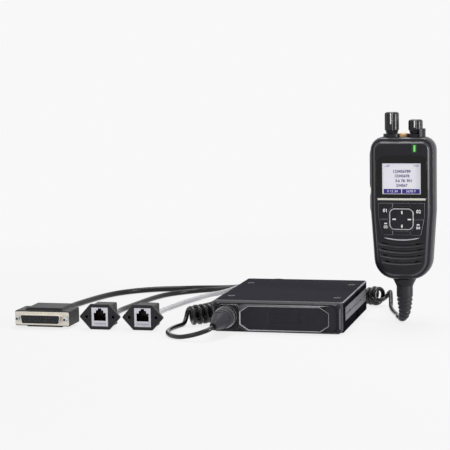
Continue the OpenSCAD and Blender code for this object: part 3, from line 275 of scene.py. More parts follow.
# painted highlights: lighter finishes for the bezel's slopes, the pad recess's chamfer and the bezel's
# rounded edges
BEZEL_SLOPE_HIGHLIGHT = glossy("bezel_slope_highlight", (0.085, 0.083, 0.092), 0.3, 0.45)
RECESS_CHAMFER_HIGHLIGHT = glossy("bezel_recess_chamfer_highlight", (0.38, 0.378, 0.395), 0.3, 0.5)
BEZEL_EDGE_HIGHLIGHT = glossy("bezel_edge_highlight", (0.26, 0.258, 0.27), 0.3, 0.5)
PAD = moulded_plastic("pad_plastic", (0.017, 0.0165, 0.0215), 0.45, 0.2)
# painted highlight: a lighter finish for the pad's rounded edges
PAD_EDGE_HIGHLIGHT = glossy("pad_edge_highlight", (0.035, 0.034, 0.042), 0.35, 0.35)
RAIL = metal("rail_metal", (0.20, 0.198, 0.215), 0.45, (1, 0.04, 1), 900, 0.12)
# painted highlight: a paler metal for the rails' rounded edges
RAIL_EDGE_HIGHLIGHT = metal("rail_edge_highlight", (0.42, 0.42, 0.44), 0.3, (1, 0.04, 1))
SCREW_BLACK = glossy("black_screw", (0.030, 0.029, 0.035), 0.4, 0.25)
STEEL = metal("zinc_steel", (0.60, 0.60, 0.62), 0.3)
SOCKET_BLACK = metal("socket_black", (0.012, 0.012, 0.014), 0.3)
DARK_CHROME = metal("dark_chrome", (0.33, 0.33, 0.345), 0.22, (1, 0.1, 1))
NICKEL = metal("nickel", (0.66, 0.63, 0.56), 0.22, (1, 0.1, 1))
TIN_PLATE = metal("tinned_plate", (0.76, 0.72, 0.64), 0.4, (0.1, 1, 1), 600, 0.1)
GOLD = metal("contact_gold", (0.30, 0.21, 0.08), 0.35)
ALUMINIUM = metal("milled_aluminium", (0.55, 0.55, 0.57), 0.35, (1, 0.08, 1))
BOARD = glossy("solder_mask", (0.012, 0.075, 0.030), 0.3)
BOOT = rubber("boot_rubber", (0.020, 0.0195, 0.024), 0.5, 0.18)
HANDSET_BOOT = rubber("handset_boot_rubber", (0.014, 0.0137, 0.0175), 0.38, 0.3)
CORD = jacket("cord_jacket", (0.004, 0.004, 0.005), 0.13, 0.42)
CABLE_BLACK = jacket("black_cable", (0.007, 0.007, 0.008), 0.2, 0.3)
CABLE_GREY = jacket("grey_cable", (0.64, 0.64, 0.66), 0.5, 0.2, 1.015)
HOOD = moulded_plastic("hood_plastic", (0.010, 0.0098, 0.0115), 0.42, 0.2)
# painted highlight: a lighter finish for the hood's rounded edges
HOOD_EDGE_HIGHLIGHT = glossy("hood_edge_highlight", (0.06, 0.06, 0.065), 0.35, 0.4)
HOUSING = moulded_plastic("socket_plastic", (0.024, 0.0235, 0.026), 0.45, 0.2)
# painted highlight: a lighter finish for the rounded edges of the socket flanges and the power inlet
HOUSING_EDGE_HIGHLIGHT = glossy("socket_edge_highlight", (0.09, 0.09, 0.095), 0.35, 0.4)
INSERT = glossy("contact_block", (0.012, 0.013, 0.016), 0.35, 0.3)
PIN = metal("contact_pins", (0.30, 0.34, 0.38), 0.35)
SHELL = moulded_plastic("handset_plastic", (0.0095, 0.0092, 0.0125), 0.34, 0.25)
# painted highlights: lighter finishes for the handset's leaning faces and for its rounded edges
SHELL_SLOPE_HIGHLIGHT = glossy("handset_slope_highlight", (0.026, 0.0255, 0.031), 0.3, 0.45)
SHELL_EDGE_HIGHLIGHT = glossy("handset_edge_highlight", (0.05, 0.049, 0.06), 0.28, 0.5)
WINDOW = glossy("window_gloss", (0.003, 0.003, 0.0033), 0.07, 0.25)
LCD = lit("display_face", (0.42, 0.415, 0.45), (0.72, 0.71, 0.78), 0.55)
LCD_BAR = lit("display_bar", (0.020, 0.012, 0.12), (0.035, 0.022, 0.20), 0.5)
LCD_INK = glossy("display_ink", (0.05, 0.035, 0.14), 0.35, 0.1)
LCD_FAINT = glossy("display_faint_ink", (0.34, 0.33, 0.42), 0.35, 0.1)
LCD_WHITE = lit("display_white", (0.5, 0.48, 0.62), (0.5, 0.48, 0.62), 0.4)
LAMP = lit("lamp_green", (0.12, 0.45, 0.10), (0.22, 0.72, 0.18), 0.55)
LAMP_FRAME = lit("lamp_frame", (0.008, 0.035, 0.008), (0.012, 0.075, 0.012), 0.35)
ACCENT = metal("accent_silver", (0.74, 0.73, 0.66), 0.3, (1, 1, 0.1))
KEYS = rubber("key_silicone", (0.0105, 0.0102, 0.0135), 0.45, 0.2)
# painted highlight: a lighter finish for the keys' rounded edges
KEY_EDGE_HIGHLIGHT = glossy("key_edge_highlight", (0.17, 0.168, 0.185), 0.35, 0.45)
PAD_RING = metal("pad_ring_chrome", (0.42, 0.42, 0.44), 0.32)
PRINT = glossy("white_print", (0.80, 0.80, 0.82), 0.4, 0.3)
KNOB = moulded_plastic("knob_plastic", (0.008, 0.008, 0.010), 0.25, 0.35)
# painted highlight: a lighter finish for the knobs' rounded edges
KNOB_EDGE_HIGHLIGHT = glossy("knob_edge_highlight", (0.06, 0.06, 0.068), 0.25, 0.5)
POINTER = glossy("pointer_white", (0.80, 0.80, 0.81), 0.4, 0.2)
ORANGE = glossy("orange_plastic", (0.84, 0.54, 0.27), 0.35)
# painted highlight: a pale metal for the strip on the lip under the keys
CHIN_HIGHLIGHT = metal("chin_painted_highlight", (0.50, 0.50, 0.53), 0.35)
CONE = glossy("speaker_cone", (0.02, 0.02, 0.022), 0.5)
# depths behind a jack's front face, in mm, over which its colour turns from pale to the painted shade of
# its mouth
MOUTH_PALE_TO = 0.3
MOUTH_SHADE_FROM = 0.7


def jack_finish(name, front_y, pale, black):
    """Pale front, with painted shade in the mouth: black from just behind the front face."""
    material, nodes, links, shader = base_material(name, pale, 0.4, 0, 0.4)
    coords = nodes.new("ShaderNodeTexCoord")
    split = nodes.new("ShaderNodeSeparateXYZ")
    links.new(coords.outputs["Object"], split.inputs["Vector"])
    depth = nodes.new("ShaderNodeMapRange")
    depth.inputs["From Min"].default_value = front_y + MOUTH_PALE_TO * MM
    depth.inputs["From Max"].default_value = front_y + MOUTH_SHADE_FROM * MM
    links.new(split.outputs["Y"], depth.inputs["Value"])
    speckle = noise(nodes, links, scale=800, detail=3.0)
    ramp = nodes.new("ShaderNodeValToRGB")
    ramp.color_ramp.elements[0].color = (*pale, 1)
    ramp.color_ramp.elements[1].color = (*[c * 0.95 for c in pale], 1)
    links.new(speckle.outputs["Fac"], ramp.inputs["Fac"])
    mix = nodes.new("ShaderNodeMix")
    mix.data_type = "RGBA"
    # painted shade: the mouth turns black behind the front face
    mix.inputs["B"].default_value = (*black, 1)
    links.new(depth.outputs["Result"], mix.inputs["Factor"])
    links.new(ramp.outputs["Color"], mix.inputs["A"])
    links.new(mix.outputs["Result"], shader.inputs["Base Color"])
    return material


def front_of(name):
    """A node's foremost Y, in metres."""
    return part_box(name)[0][1]


JACK_PALE = (0.80, 0.79, 0.85)
# painted shade inside the jacks' mouths
JACK_MOUTH_SHADE = (0.004, 0.004, 0.005)
JACK_A = jack_finish("jack_a_plastic", front_of("socket_a_jack"), JACK_PALE, JACK_MOUTH_SHADE)
JACK_B = jack_finish("jack_b_plastic", front_of("socket_b_jack"), JACK_PALE, JACK_MOUTH_SHADE)


# ---------------------------------------------------------------- dressed CAD nodes
MERGE = 0.002 * MM
FLAT_ANGLE = math.radians(0.6)
HARD_ANGLE = math.radians(28)
BEVEL_SEGMENTS = 2
# share of a leaning face's normal that lies along the axis it leans from
LEAN_LEAST = 0.2
LEAN_MOST = 0.87
# a dressed piece's materials: its own, the painted highlight of its rounded edges, then its slopes'
# painted highlights
EDGE_SLOT = 1
FIRST_SLOPE_SLOT = 2


def mark_faces(bm, slopes):
    """Smooths every face, and gives those that lean as a slope says the slope's material, a lighter one
    that paints a highlight.
    """
    for face in bm.faces:
        face.smooth = True
        centre = face.calc_center_median() / MM
        for i, (_, (axis, sign), low, high) in enumerate(slopes):
            lean = sign * face.normal[axis]
            if LEAN_LEAST < lean < LEAN_MOST and low < centre[axis] < high:
                face.material_index = FIRST_SLOPE_SLOT + i


def mark_edges(bm):
    """Keeps the hard edges sharp and gives them to the bevel."""
    weights = bm.edges.layers.float.new("bevel_weight_edge")
    for line in bm.edges:
        if len(line.link_faces) == 2:
            line.smooth = line.calc_face_angle(0) < HARD_ANGLE
            if not line.smooth:
                line[weights] = 1.0


def dress(name, material, bevel=0.0, edge=None, slopes=()):
    """A copy of a CAD node with its edges rounded and its round faces smoothed.

    slopes gives the faces that lean away from an axis, by their place on it, a lighter finish of their
    own that paints a highlight; edge is a lighter finish that paints a highlight on the rounded edges.
    """
    source = NODES[name]
    mesh = source.data.copy()
    mesh.materials.clear()
    bm = bmesh.new()
    bm.from_mesh(mesh)
    bmesh.ops.remove_doubles(bm, verts=bm.verts, dist=MERGE)
    bmesh.ops.dissolve_limit(bm, angle_limit=FLAT_ANGLE, verts=bm.verts, edges=bm.edges)
    mark_faces(bm, slopes)
    mark_edges(bm)
    bm.to_mesh(mesh)
    bm.free()
    piece = new_object(name + "_dressed", mesh, material, source["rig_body"])
    if bevel:
        rounding = modify(piece, "BEVEL", width=bevel * MM, segments=BEVEL_SEGMENTS,
                          limit_method="WEIGHT")
        if edge:
            mesh.materials.append(edge)
            # the rounded edges take the lighter finish, a painted highlight
            rounding.material = EDGE_SLOT
    # each slope's lighter finish, a painted highlight
    for slope, *_ in slopes:
        mesh.materials.append(slope)
    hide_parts(name)


def paint(name, material):
    """Gives a CAD node its material and leaves its shape."""
    mesh = NODES[name].data
    mesh.materials.clear()
    mesh.materials.append(material)
    for polygon in mesh.polygons:
        polygon.material_index = 0


# ---------------------------------------------------------------- cords
# a cord's heading counts as upright past this share of the vertical
STEEP = 0.9


def spline(points, step=3.0):
    """Catmull-Rom points through a sparse route, about step millimetres apart."""
    points = [Vector(p) for p in points]
    ends = [2 * points[0] - points[1]] + points + [2 * points[-1] - points[-2]]
    path = []
    for i in range(1, len(ends) - 2):
        a, b, c, d = ends[i - 1:i + 3]
        count = max(2, int((c - b).length / step))
        for k in range(count):
            t = k / count
            path.append(0.5 * (2 * b + (c - a) * t + (2 * a - 5 * b + 4 * c - d) * t * t
                               + (3 * b - a - 3 * c + d) * t * t * t))
    path.append(points[-1])
    return path


def across_path(path):
    """Two directions across the path at each of its points, carried along without twist."""
    pairs = []
    side = None
    for i in range(len(path)):
        t = (path[min(i + 1, len(path) - 1)] - path[max(i - 1, 0)]).normalized()
        if side is None:
            side = t.cross(UP if abs(t.z) < STEEP else Vector((1, 0, 0))).normalized()
        side = (side - t * side.dot(t)).normalized()
        pairs.append((side, side.cross(t)))
    return pairs


def tube(name, path, radius, sides, material, body, across=None):
    """A round tube along a path in millimetres, flat at its ends."""
    verts = []
    for p, (side, other) in zip(path, across or across_path(path)):
        for k in range(sides):
            a = 2 * math.pi * k / sides
            verts.append((p + radius * (math.cos(a) * side + math.sin(a) * other)) * MM)
    faces = ring_faces(len(path), sides)
    faces += [list(range(sides))[::-1], [(len(path) - 1) * sides + k for k in range(sides)]]
    mesh = mesh_from(name, verts, faces)
    for cap in list(mesh.polygons)[-2:]:
        cap.use_smooth = False
    return new_object(name, mesh, material, body)


def length_of(path):
    """Length along a path, in its own unit."""
    return sum((b - a).length for a, b in zip(path, path[1:]))


# routes in mm, with part.scad's points
LEAD = [(-49, -110.5, 11.4), (-51.5, -116, 9.8), (-56.5, -119.5, 8), (-63, -120.5, 6),
        (-71, -119.5, 4), (-79, -116.5, 2.6), (-88, -109.5, 2.2), (-94, -100, 2.2),
        (-97.5, -88, 2.2), (-98, -75, 2.2), (-96.2, -63, 2.2), (-93.4, -53, 2.2),
        (-90.6, -46.6, 2.2)]
# third number: the winding's outer diameter as a share of COIL_OD
COIL = [(-90.5, -46.5, 1), (-84, -41.5, 1), (-78, -34.5, 1), (-73.5, -25, 1), (-71, -13, 1),
        (-71, 20, 1), (-71, 60, 1), (-71, 67, 1), (-68.3, 77, 1), (-61, 84.3, 1), (-51, 87, 1),
        (-36, 87, 1), (-22, 87.6, 1), (-8, 91, 1), (4, 94.5, 1), (12, 96, 1), (18, 96.8, 0.72),
        (25, 97.3, 0.37), (38, 97.5, 0.33), (49, 96.8, 0.37), (55, 95.7, 0.72), (61, 93.8, 1),
        (66, 91.5, 1), (71, 87.5, 1)]
TAIL = [(71.5, 88, 2.2), (75.5, 92.5, 6.5), (78.5, 95, 12.5), (80.3, 92, 15), (81.6, 86, 11.5),
        (82.8, 79, 6), (84.2, 70, 2.6), (87.5, 56, 2.2), (91.5, 42, 2.2), (95.8, 29, 2.3)]
DATA = [(-223, -43, 9.1), (-223.2, -35, 8.9), (-224.7, -23, 7.6), (-227.5, -9, 5.2),
        (-230.5, 4, 3.4), (-232.5, 19, 2.9), (-232, 35, 2.9), (-229.5, 51, 2.9),
        (-226.5, 68, 2.9), (-222.5, 86, 2.9), (-217, 104, 2.9), (-208, 121, 2.9),
        (-194, 136, 2.9), (-177, 147, 2.9), (-157, 153.5, 2.9), (-145, 155.8, 3.1), (-134, 155.2, 3.7),
        (-114, 147, 5.5), (-92, 132, 8.6), (-71, 117, 13), (-52, 106, 18), (-36, 96.5, 21.6),
        (-27, 88, 22.4), (-24.2, 82, 22.2), (-24, 78.2, 22.2)]
LAN_A = [(-166.5, -52.5, 11.85), (-166.7, -45, 11.3), (-169.5, -28, 7.6), (-173, -12, 4),
         (-175.5, 2, 2.6), (-176, 16, 2.6), (-173.5, 36, 2.6), (-170, 62, 2.6),
         (-165.5, 90, 2.6), (-158.5, 113, 2.6), (-147, 130, 2.6), (-132, 140, 3.2),
         (-115, 138, 5), (-96, 126, 8.2), (-78, 114, 12.6), (-61, 104, 17.6),
         (-46, 95.5, 21.4), (-37, 87.5, 22.2), (-34.2, 82, 22.2), (-34, 78.2, 22.2)]
LAN_B = [(-125.5, -50.5, 11.85), (-125.8, -43, 11.2), (-129, -27, 7.4), (-132.5, -12, 3.6),
         (-134.5, 3, 2.4), (-134.5, 20, 2.4), (-131.5, 41, 2.4), (-126.5, 70, 2.4),
         (-120, 94, 2.6), (-111.5, 108, 4), (-98.5, 110, 6.6), (-85, 106, 11),
         (-71, 100.5, 16.6), (-58, 94, 20.9), (-48, 87.5, 22), (-44.3, 82, 22.2),
         (-44, 78.2, 22.2)]
# the curly cord and its winding, in mm
CORD_D = 4.3
COIL_OD = 19.4
PITCH = 6.1
CORNER_PITCH = 8.8
CORNER_X = -51
CORNER_Y = 62
LAST_PITCH = 5.7
LAST_TURNS_X = 57
TURN_POINTS = 18
LOOK_AHEAD = 2
THINNEST_WINDING = 0.8
ROUTE_STEP = 0.5
CORD_STEP = 2.0
CURLY_SIDES = 10
PIGTAIL_SIDES = 16
TURN_LENGTH = math.hypot(PITCH, math.pi * (COIL_OD - CORD_D))
TAIL_TOP = Vector(TAIL[2])
BOOT_HEADING = math.radians(120)
BOOT_TIP = Vector((102, 8.53, 2.9))
BOOT_RUN = 6
BOOT_ENTRY = 1.5
# how far each end of the coil is rounded into its neighbour, in points, and how often
COIL_START_ROUNDING = (9, 14)
COIL_END_ROUNDING = (8, 12)


def pitch_at(p, radius):
    """Close turns on the straights and at the right end, wider round the corner and where thin."""
    if p.x > LAST_TURNS_X:
        return LAST_PITCH
    in_corner = p.x < CORNER_X and p.y > CORNER_Y
    pitch = CORNER_PITCH if in_corner else PITCH
    pulled = TURN_LENGTH ** 2 - (2 * math.pi * radius) ** 2
    return max(pitch, math.sqrt(max(pulled, 0)))


def winding_line(route):
    """Centre line of the winding on the floor, and the cord's distance from it."""
    centres = []
    radii = []
    for p in spline(route, ROUTE_STEP):
        outer = min(p.z, 1) * COIL_OD / 2
        centres.append(Vector((p.x, p.y, outer)))
        radii.append(max(outer - CORD_D / 2, THINNEST_WINDING))
    return centres, radii


def helix(route):
    """Right-handed winding that lies on the floor, starting and ending at the bottom."""
    centres, radii = winding_line(route)
    last = len(centres) - 1
    phases = [0.0]
    for a, b, r in zip(centres, centres[1:], radii):
        phases.append(phases[-1] + (b - a).length / pitch_at(a, r))
    whole = round(phases[-1])
    scale = whole / phases[-1] * TURN_POINTS
    path = []
    i = 1
    for step in range(whole * TURN_POINTS + 1):
        while i < len(phases) - 1 and phases[i] * scale < step:
            i += 1
        share = (step - phases[i - 1] * scale) / ((phases[i] - phases[i - 1]) * scale)
        p = centres[i - 1].lerp(centres[i], share)
        radius = radii[i - 1] + (radii[i] - radii[i - 1]) * share
        ahead = centres[min(i + LOOK_AHEAD, last)] - centres[max(i - 1 - LOOK_AHEAD, 0)]
        side = ahead.normalized().cross(UP).normalized()
        a = -math.pi / 2 - 2 * math.pi * step / TURN_POINTS
        path.append(p + radius * (math.cos(a) * side + math.sin(a) * UP))
    return path, whole


def relax(path, centre, reach, passes):
    """Rounds the path near one of its points, most at the point itself."""
    path = [p.copy() for p in path]
    for k in range(passes):
        near = max(1, round(reach * (passes - k) / passes))
        for i in range(max(1, centre - near), min(len(path) - 1, centre + near + 1)):
            path[i] = (path[i - 1] + 2 * path[i] + path[i + 1]) / 4
    return path


coil_path, coil_turns = helix(COIL)
lead_path = spline(LEAD, CORD_STEP)
heading = Vector((math.cos(BOOT_HEADING), math.sin(BOOT_HEADING), 0))
tail_path = spline(TAIL + [BOOT_TIP + BOOT_RUN * heading, BOOT_TIP - BOOT_ENTRY * heading], CORD_STEP)
curly_path = lead_path[:-1] + coil_path[1:-1] + tail_path[1:]
coil_start = len(lead_path) - 1
coil_end = coil_start + len(coil_path) - 2
curly_path = relax(curly_path, coil_start, *COIL_START_ROUNDING)
curly_path = relax(curly_path, coil_end, *COIL_END_ROUNDING)
curly_across = across_path(curly_path)
join = min(range(coil_end, len(curly_path)), key=lambda i: (curly_path[i] - TAIL_TOP).length)


def curly_piece(name, start, end, body):
    """One of the curly cord's two lengths, on the body given: the coil rides on the main unit, the tail
    on no body.
    """
    path = curly_path[start:end + 1]
    piece = tube(name, path, CORD_D / 2, CURLY_SIDES, CORD, body, curly_across[start:end + 1])
    print(name, round(length_of(path)), "mm")
    return piece


curly = curly_piece("curly_cord", 0, join, MAIN)
curly_tail = curly_piece("curly_cord_tail", join, len(curly_path) - 1, None)
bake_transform(curly_tail)
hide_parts("mic_lead", "mic_coil_left", "mic_coil_rear", "mic_coil_right")
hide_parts("mic_tail")
print("curly cord", round(length_of(curly_path)), "mm,", coil_turns, "turns")


def pigtail(name, route, diameter, material, node):
    """A rear cable, from its connector's pieces to the seal in the rear panel."""
    path = spline(route)
    piece = tube(name, path, diameter / 2, PIGTAIL_SIDES, material, MAIN)
    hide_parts(node)
    print(name, round(length_of(path)), "mm")


pigtail("data_lead", DATA, 5.8, CABLE_BLACK, "data_cable")
pigtail("network_lead_a", LAN_A, 5.2, CABLE_BLACK, "network_cable_a")
pigtail("network_lead_b", LAN_B, 4.8, CABLE_GREY, "network_cable_b")


# ---------------------------------------------------------------- camera and lights
CAMERA_PLACE = (305.69, -1446.41, 259.54)
CAMERA_YAW = 0.2506
CAMERA_PITCH = 0.1131
CAMERA_ROLL = -0.0187
CAMERA_LENS = 125.8
CAMERA_SENSOR = 36
CAMERA_REACH = 20


def place_camera():
    """Nearly level view from the front, from a little to the right of the unit's axis."""
    level = math.cos(CAMERA_PITCH)
    forward = Vector((-math.sin(CAMERA_YAW) * level, math.cos(CAMERA_YAW) * level,
                      -math.sin(CAMERA_PITCH)))
    right = Vector((math.cos(CAMERA_YAW), math.sin(CAMERA_YAW), 0))
    up = right.cross(forward)
    turned_right = math.cos(CAMERA_ROLL) * right + math.sin(CAMERA_ROLL) * up
    turned_up = -math.sin(CAMERA_ROLL) * right + math.cos(CAMERA_ROLL) * up
    data = bpy.data.cameras.new("camera")
    data.lens = CAMERA_LENS
    data.sensor_width = CAMERA_SENSOR
    data.clip_end = CAMERA_REACH
    camera = bpy.data.objects.new("camera", data)
    axes = Matrix((turned_right, turned_up, -forward)).transposed()
    camera.matrix_world = Matrix.Translation(mm(*CAMERA_PLACE)) @ axes.to_4x4()
    bpy.context.scene.collection.objects.link(camera)
    bpy.context.scene.camera = camera


def area_light(name, place, target, size, power):
    """A soft rectangular lamp that faces its target."""
    data = bpy.data.lights.new(name, "AREA")
    data.shape = "RECTANGLE"
    data.size, data.size_y = size
    data.energy = power
    light = bpy.data.objects.new(name, data)
    light.location = place
    light.rotation_euler = (Vector(target) - Vector(place)).to_track_quat("-Z", "Y").to_euler()
    bpy.context.scene.collection.objects.link(light)


WHITE = 0.94
FILL = 0.34
# the floor's own glow: its share near the object, and the distances over which it grows to 1
GLOW_NEAR = 0.84
GLOW_FROM = 0.30
GLOW_TO = 0.75
FLOOR_SIZE = 8
FLOOR_DROP = 0.0003


def seen_ray(nodes, links):
    """1 for camera, glossy and transmission rays, which see the white surroundings."""
    path = nodes.new("ShaderNodeLightPath")
    total = None
    for output in ("Is Camera Ray", "Is Glossy Ray", "Is Transmission Ray"):
        add = nodes.new("ShaderNodeMath")
        add.operation = "ADD"
        add.use_clamp = True
        links.new(path.outputs[output], add.inputs[0])
        if total:
            links.new(total.outputs[0], add.inputs[1])
        else:
            add.inputs[1].default_value = 0
        total = add
    return total.outputs[0]


def glow_share(nodes, links):
    """How much the floor glows: for seen rays only, and less near the object."""
    coords = nodes.new("ShaderNodeTexCoord")
    distance = nodes.new("ShaderNodeVectorMath")
    distance.operation = "LENGTH"
    links.new(coords.outputs["Object"], distance.inputs[0])
    fade = nodes.new("ShaderNodeMapRange")
    fade.inputs["From Min"].default_value = GLOW_FROM
    fade.inputs["From Max"].default_value = GLOW_TO
    fade.inputs["To Min"].default_value = GLOW_NEAR
    fade.inputs["To Max"].default_value = 1.0
    links.new(distance.outputs["Value"], fade.inputs["Value"])
    share = nodes.new("ShaderNodeMath")
    share.operation = "MULTIPLY"
    links.new(fade.outputs["Result"], share.inputs[1])
    links.new(seen_ray(nodes, links), share.inputs[0])
    return share.outputs[0]


def stage_material():
    """White to the camera and in reflections, with the object's own shadow kept."""
    material = bpy.data.materials.new("stage_white")
    material.use_nodes = True
    nodes = material.node_tree.nodes
    links = material.node_tree.links
    shader = nodes["Principled BSDF"]
    shader.inputs["Base Color"].default_value = (0.9, 0.9, 0.9, 1)
    shader.inputs["Roughness"].default_value = 0.9
    shader.inputs["Specular IOR Level"].default_value = 0.1
    white = nodes.new("ShaderNodeEmission")
    white.inputs["Color"].default_value = (1, 1, 1, 1)
    white.inputs["Strength"].default_value = WHITE
    mix = nodes.new("ShaderNodeMixShader")
    links.new(glow_share(nodes, links), mix.inputs["Fac"])
    links.new(shader.outputs["BSDF"], mix.inputs[1])
    links.new(white.outputs["Emission"], mix.inputs[2])
    links.new(mix.outputs["Shader"], nodes["Material Output"].inputs["Surface"])
    return material


def build_stage():
    """Pale floor, and a world that fills the shadows."""
    material = stage_material()
    bpy.ops.mesh.primitive_plane_add(size=FLOOR_SIZE, location=(0, 0, -FLOOR_DROP))
    floor = bpy.context.object
    floor.name = "floor"
    floor.data.materials.append(material)
    world = bpy.data.worlds.new("studio")
    bpy.context.scene.world = world
    world.use_nodes = True
    nodes = world.node_tree.nodes
    links = world.node_tree.links
    background = nodes["Background"]
    level = nodes.new("ShaderNodeMapRange")
    level.inputs["To Min"].default_value = FILL
    level.inputs["To Max"].default_value = WHITE
    links.new(seen_ray(nodes, links), level.inputs["Value"])
    links.new(level.outputs["Result"], background.inputs["Strength"])
    background.inputs["Color"].default_value = (1, 1, 1, 1)


place_camera()
build_stage()
area_light("overhead", (0.0, 0.20, 1.15), (0.0, 0.05, 0.03), size=(0.55, 1.0), power=8)
area_light("side_right", (1.2, -0.35, 0.32), (0.08, -0.02, 0.08), size=(0.3, 0.65), power=11)
area_light("front_left", (-0.9, -1.1, 0.8), (-0.05, -0.05, 0.04), size=(0.5, 0.4), power=1.5)
bpy.context.scene.view_settings.view_transform = "Standard"


# ---------------------------------------------------------------- CAD nodes with better surfaces
# node, finish, edge radius in mm, and the lighter finish of the rounded edges, which paints a highlight
# on them
DRESSED = (
    ("chassis", CASE, 0.3, CASE_EDGE_HIGHLIGHT), ("top_cover", COVER, 0.5, COVER_EDGE_HIGHLIGHT),
    ("cover_screws", SCREW_BLACK, 0.12, None), ("front_bezel", BEZEL, 0.35, BEZEL_EDGE_HIGHLIGHT),
    ("front_pad", PAD, 0.4, PAD_EDGE_HIGHLIGHT), ("side_rails", RAIL, 0.25, RAIL_EDGE_HIGHLIGHT),
    ("mic_socket", SOCKET_BLACK, 0.25, None), ("mic_plug_body", BOOT, 0.3, None),
    ("mic_plug_ring", DARK_CHROME, 0.15, None), ("mic_plug_boot", BOOT, 0.3, None),
    ("antenna_connector", NICKEL, 0.12, None), ("power_inlet", HOUSING, 0.2, HOUSING_EDGE_HIGHLIGHT),
    ("cable_seal", BOOT, 0.2, None), ("ground_screw", STEEL, 0.15, None),
    ("dsub_shell", TIN_PLATE, 0.15, None), ("dsub_insert", INSERT, 0.0, None),
    ("dsub_hood", HOOD, 0.4, HOOD_EDGE_HIGHLIGHT), ("dsub_posts", STEEL, 0.2, None),
    ("socket_a_flange", HOUSING, 0.3, HOUSING_EDGE_HIGHLIGHT),
    ("socket_b_flange", HOUSING, 0.3, HOUSING_EDGE_HIGHLIGHT),
    ("socket_a_jack", JACK_A, 0.15, None), ("socket_b_jack", JACK_B, 0.15, None),
    ("jack_contacts", GOLD, 0.0, None), ("front_case", SHELL, 0.3, SHELL_EDGE_HIGHLIGHT),
    ("rear_case", SHELL, 0.3, SHELL_EDGE_HIGHLIGHT), ("case_seal", BOOT, 0.0, None),
    ("case_screws", SCREW_BLACK, 0.12, None), ("display_window", WINDOW, 0.15, None),
    ("led_lens", LAMP_FRAME, 0.1, None), ("accent_bar", ACCENT, 0.15, None),
    ("keypad_mat", KEYS, 0.25, KEY_EDGE_HIGHLIGHT), ("key_upper_left", KEYS, 0.35, KEY_EDGE_HIGHLIGHT),
    ("key_upper_right", KEYS, 0.35, KEY_EDGE_HIGHLIGHT), ("key_lower_left", KEYS, 0.35, KEY_EDGE_HIGHLIGHT),
    ("key_lower_right", KEYS, 0.35, KEY_EDGE_HIGHLIGHT), ("dpad_rocker", STEEL, 0.1, None),
    ("dpad_cap", KEYS, 0.4, None), ("ptt_button", KEYS, 0.3, None),
    ("side_key", KEYS, 0.3, None), ("emergency_button", ORANGE, 0.25, None),
    ("selector_knob", KNOB, 0.25, KNOB_EDGE_HIGHLIGHT), ("volume_knob", KNOB, 0.25, KNOB_EDGE_HIGHLIGHT),
    ("cord_boot", HANDSET_BOOT, 0.2, None),
)
PAINTED = (
    ("main_board", BOARD), ("board_screws", STEEL), ("radio_module", TIN_PLATE),
    ("heat_spreader", ALUMINIUM), ("lcd_panel", LCD), ("handset_board", BOARD),
    ("speaker", CONE), ("encoders", ALUMINIUM),
)
# leaning faces, given a lighter finish as a painted highlight: finish, the axis and sign they lean from,
# and the places between which they lie
FRONTWARD = (1, -1)
UPWARD = (2, 1)
SLOPE_HIGHLIGHTS = {
    "front_bezel": ((RECESS_CHAMFER_HIGHLIGHT, FRONTWARD, -73.6, -73.0), (BEZEL_SLOPE_HIGHLIGHT, FRONTWARD, -73.0, -71.0)),
    "front_case": ((SHELL_SLOPE_HIGHLIGHT, FRONTWARD, -20, 0),),
    "top_cover": ((COVER_CHAMFER_HIGHLIGHT, UPWARD, 27.4, 28),),
}
for node_name, finish, width, edge_highlight in DRESSED:
    dress(node_name, finish, width, edge_highlight, SLOPE_HIGHLIGHTS.get(node_name, ()))
for node_name, finish in PAINTED:
    paint(node_name, finish)


# ---------------------------------------------------------------- handset details
PIVOT = Vector(JOINTS["dpad_up_down"]["pos_m"])
ACROSS = Vector(JOINTS["ptt_press"]["axis"])
INWARD = Vector((-ACROSS.y, ACROSS.x, 0))
# depths of the handset's surfaces, in mm, along the way the handset faces
PIVOT_Y = -11.6
FACE_Y = -16.0
PAD_FRONT_Y = -17.2
LCD_FRONT_Y = -14.4
KEY_FRONT_Y = -16.9
# a figure's height over its face, and the points along each of its curves
FIGURE_RISE = 0.03
FIGURE_CURVE_POINTS = 3
# an inlay's chamfer: its share of the plate's width, and its depth
INLAY_SHRINK = 0.06
INLAY_CHAMFER = 0.05


def at_handset(x, y, z):
    """Handset place in mm, z counted from the four-way pad's centre."""
    return PIVOT + (x * ACROSS + (y - PIVOT_Y) * INWARD + z * UP) * MM


def centre_height(name):
    """Height of a node's middle over the four-way pad's centre, in mm."""
    low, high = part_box(name)
    return ((low[2] + high[2]) / 2 - PIVOT.z) / MM


def box_mm(name):
    """Lowest and highest corner of a node's box, in mm."""
    return [Vector(v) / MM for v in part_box(name)]


def rounded_outline(w, h, r, steps=6):
    """Rectangle with rounded corners, about its own middle."""
    points = []
    for sx, sz, start in ((1, 1, 0), (-1, 1, 90), (-1, -1, 180), (1, -1, 270)):
        for k in range(steps + 1):
            a = math.radians(start + 90 * k / steps)
            points.append((sx * (w / 2 - r) + r * math.cos(a), sz * (h / 2 - r) + r * math.sin(a)))
    return points


def inlay(name, outline, place, y_front, depth, material, body):
    """A thin plate with a small chamfer, facing the handset's front."""
    cx, cz = place
    rings = ((y_front + depth, 1), (y_front + INLAY_CHAMFER, 1), (y_front, 1 - INLAY_SHRINK))
    verts = [at_handset(cx + x * k, y, cz + z * k) for y, k in rings for x, z in outline]
    n = len(outline)
    faces = ring_faces(len(rings), n)
    faces += [[2 * n + k for k in range(n)], list(range(n))[::-1]]
    piece = new_object(name, mesh_from(name, verts, faces, smooth=False), material, body)


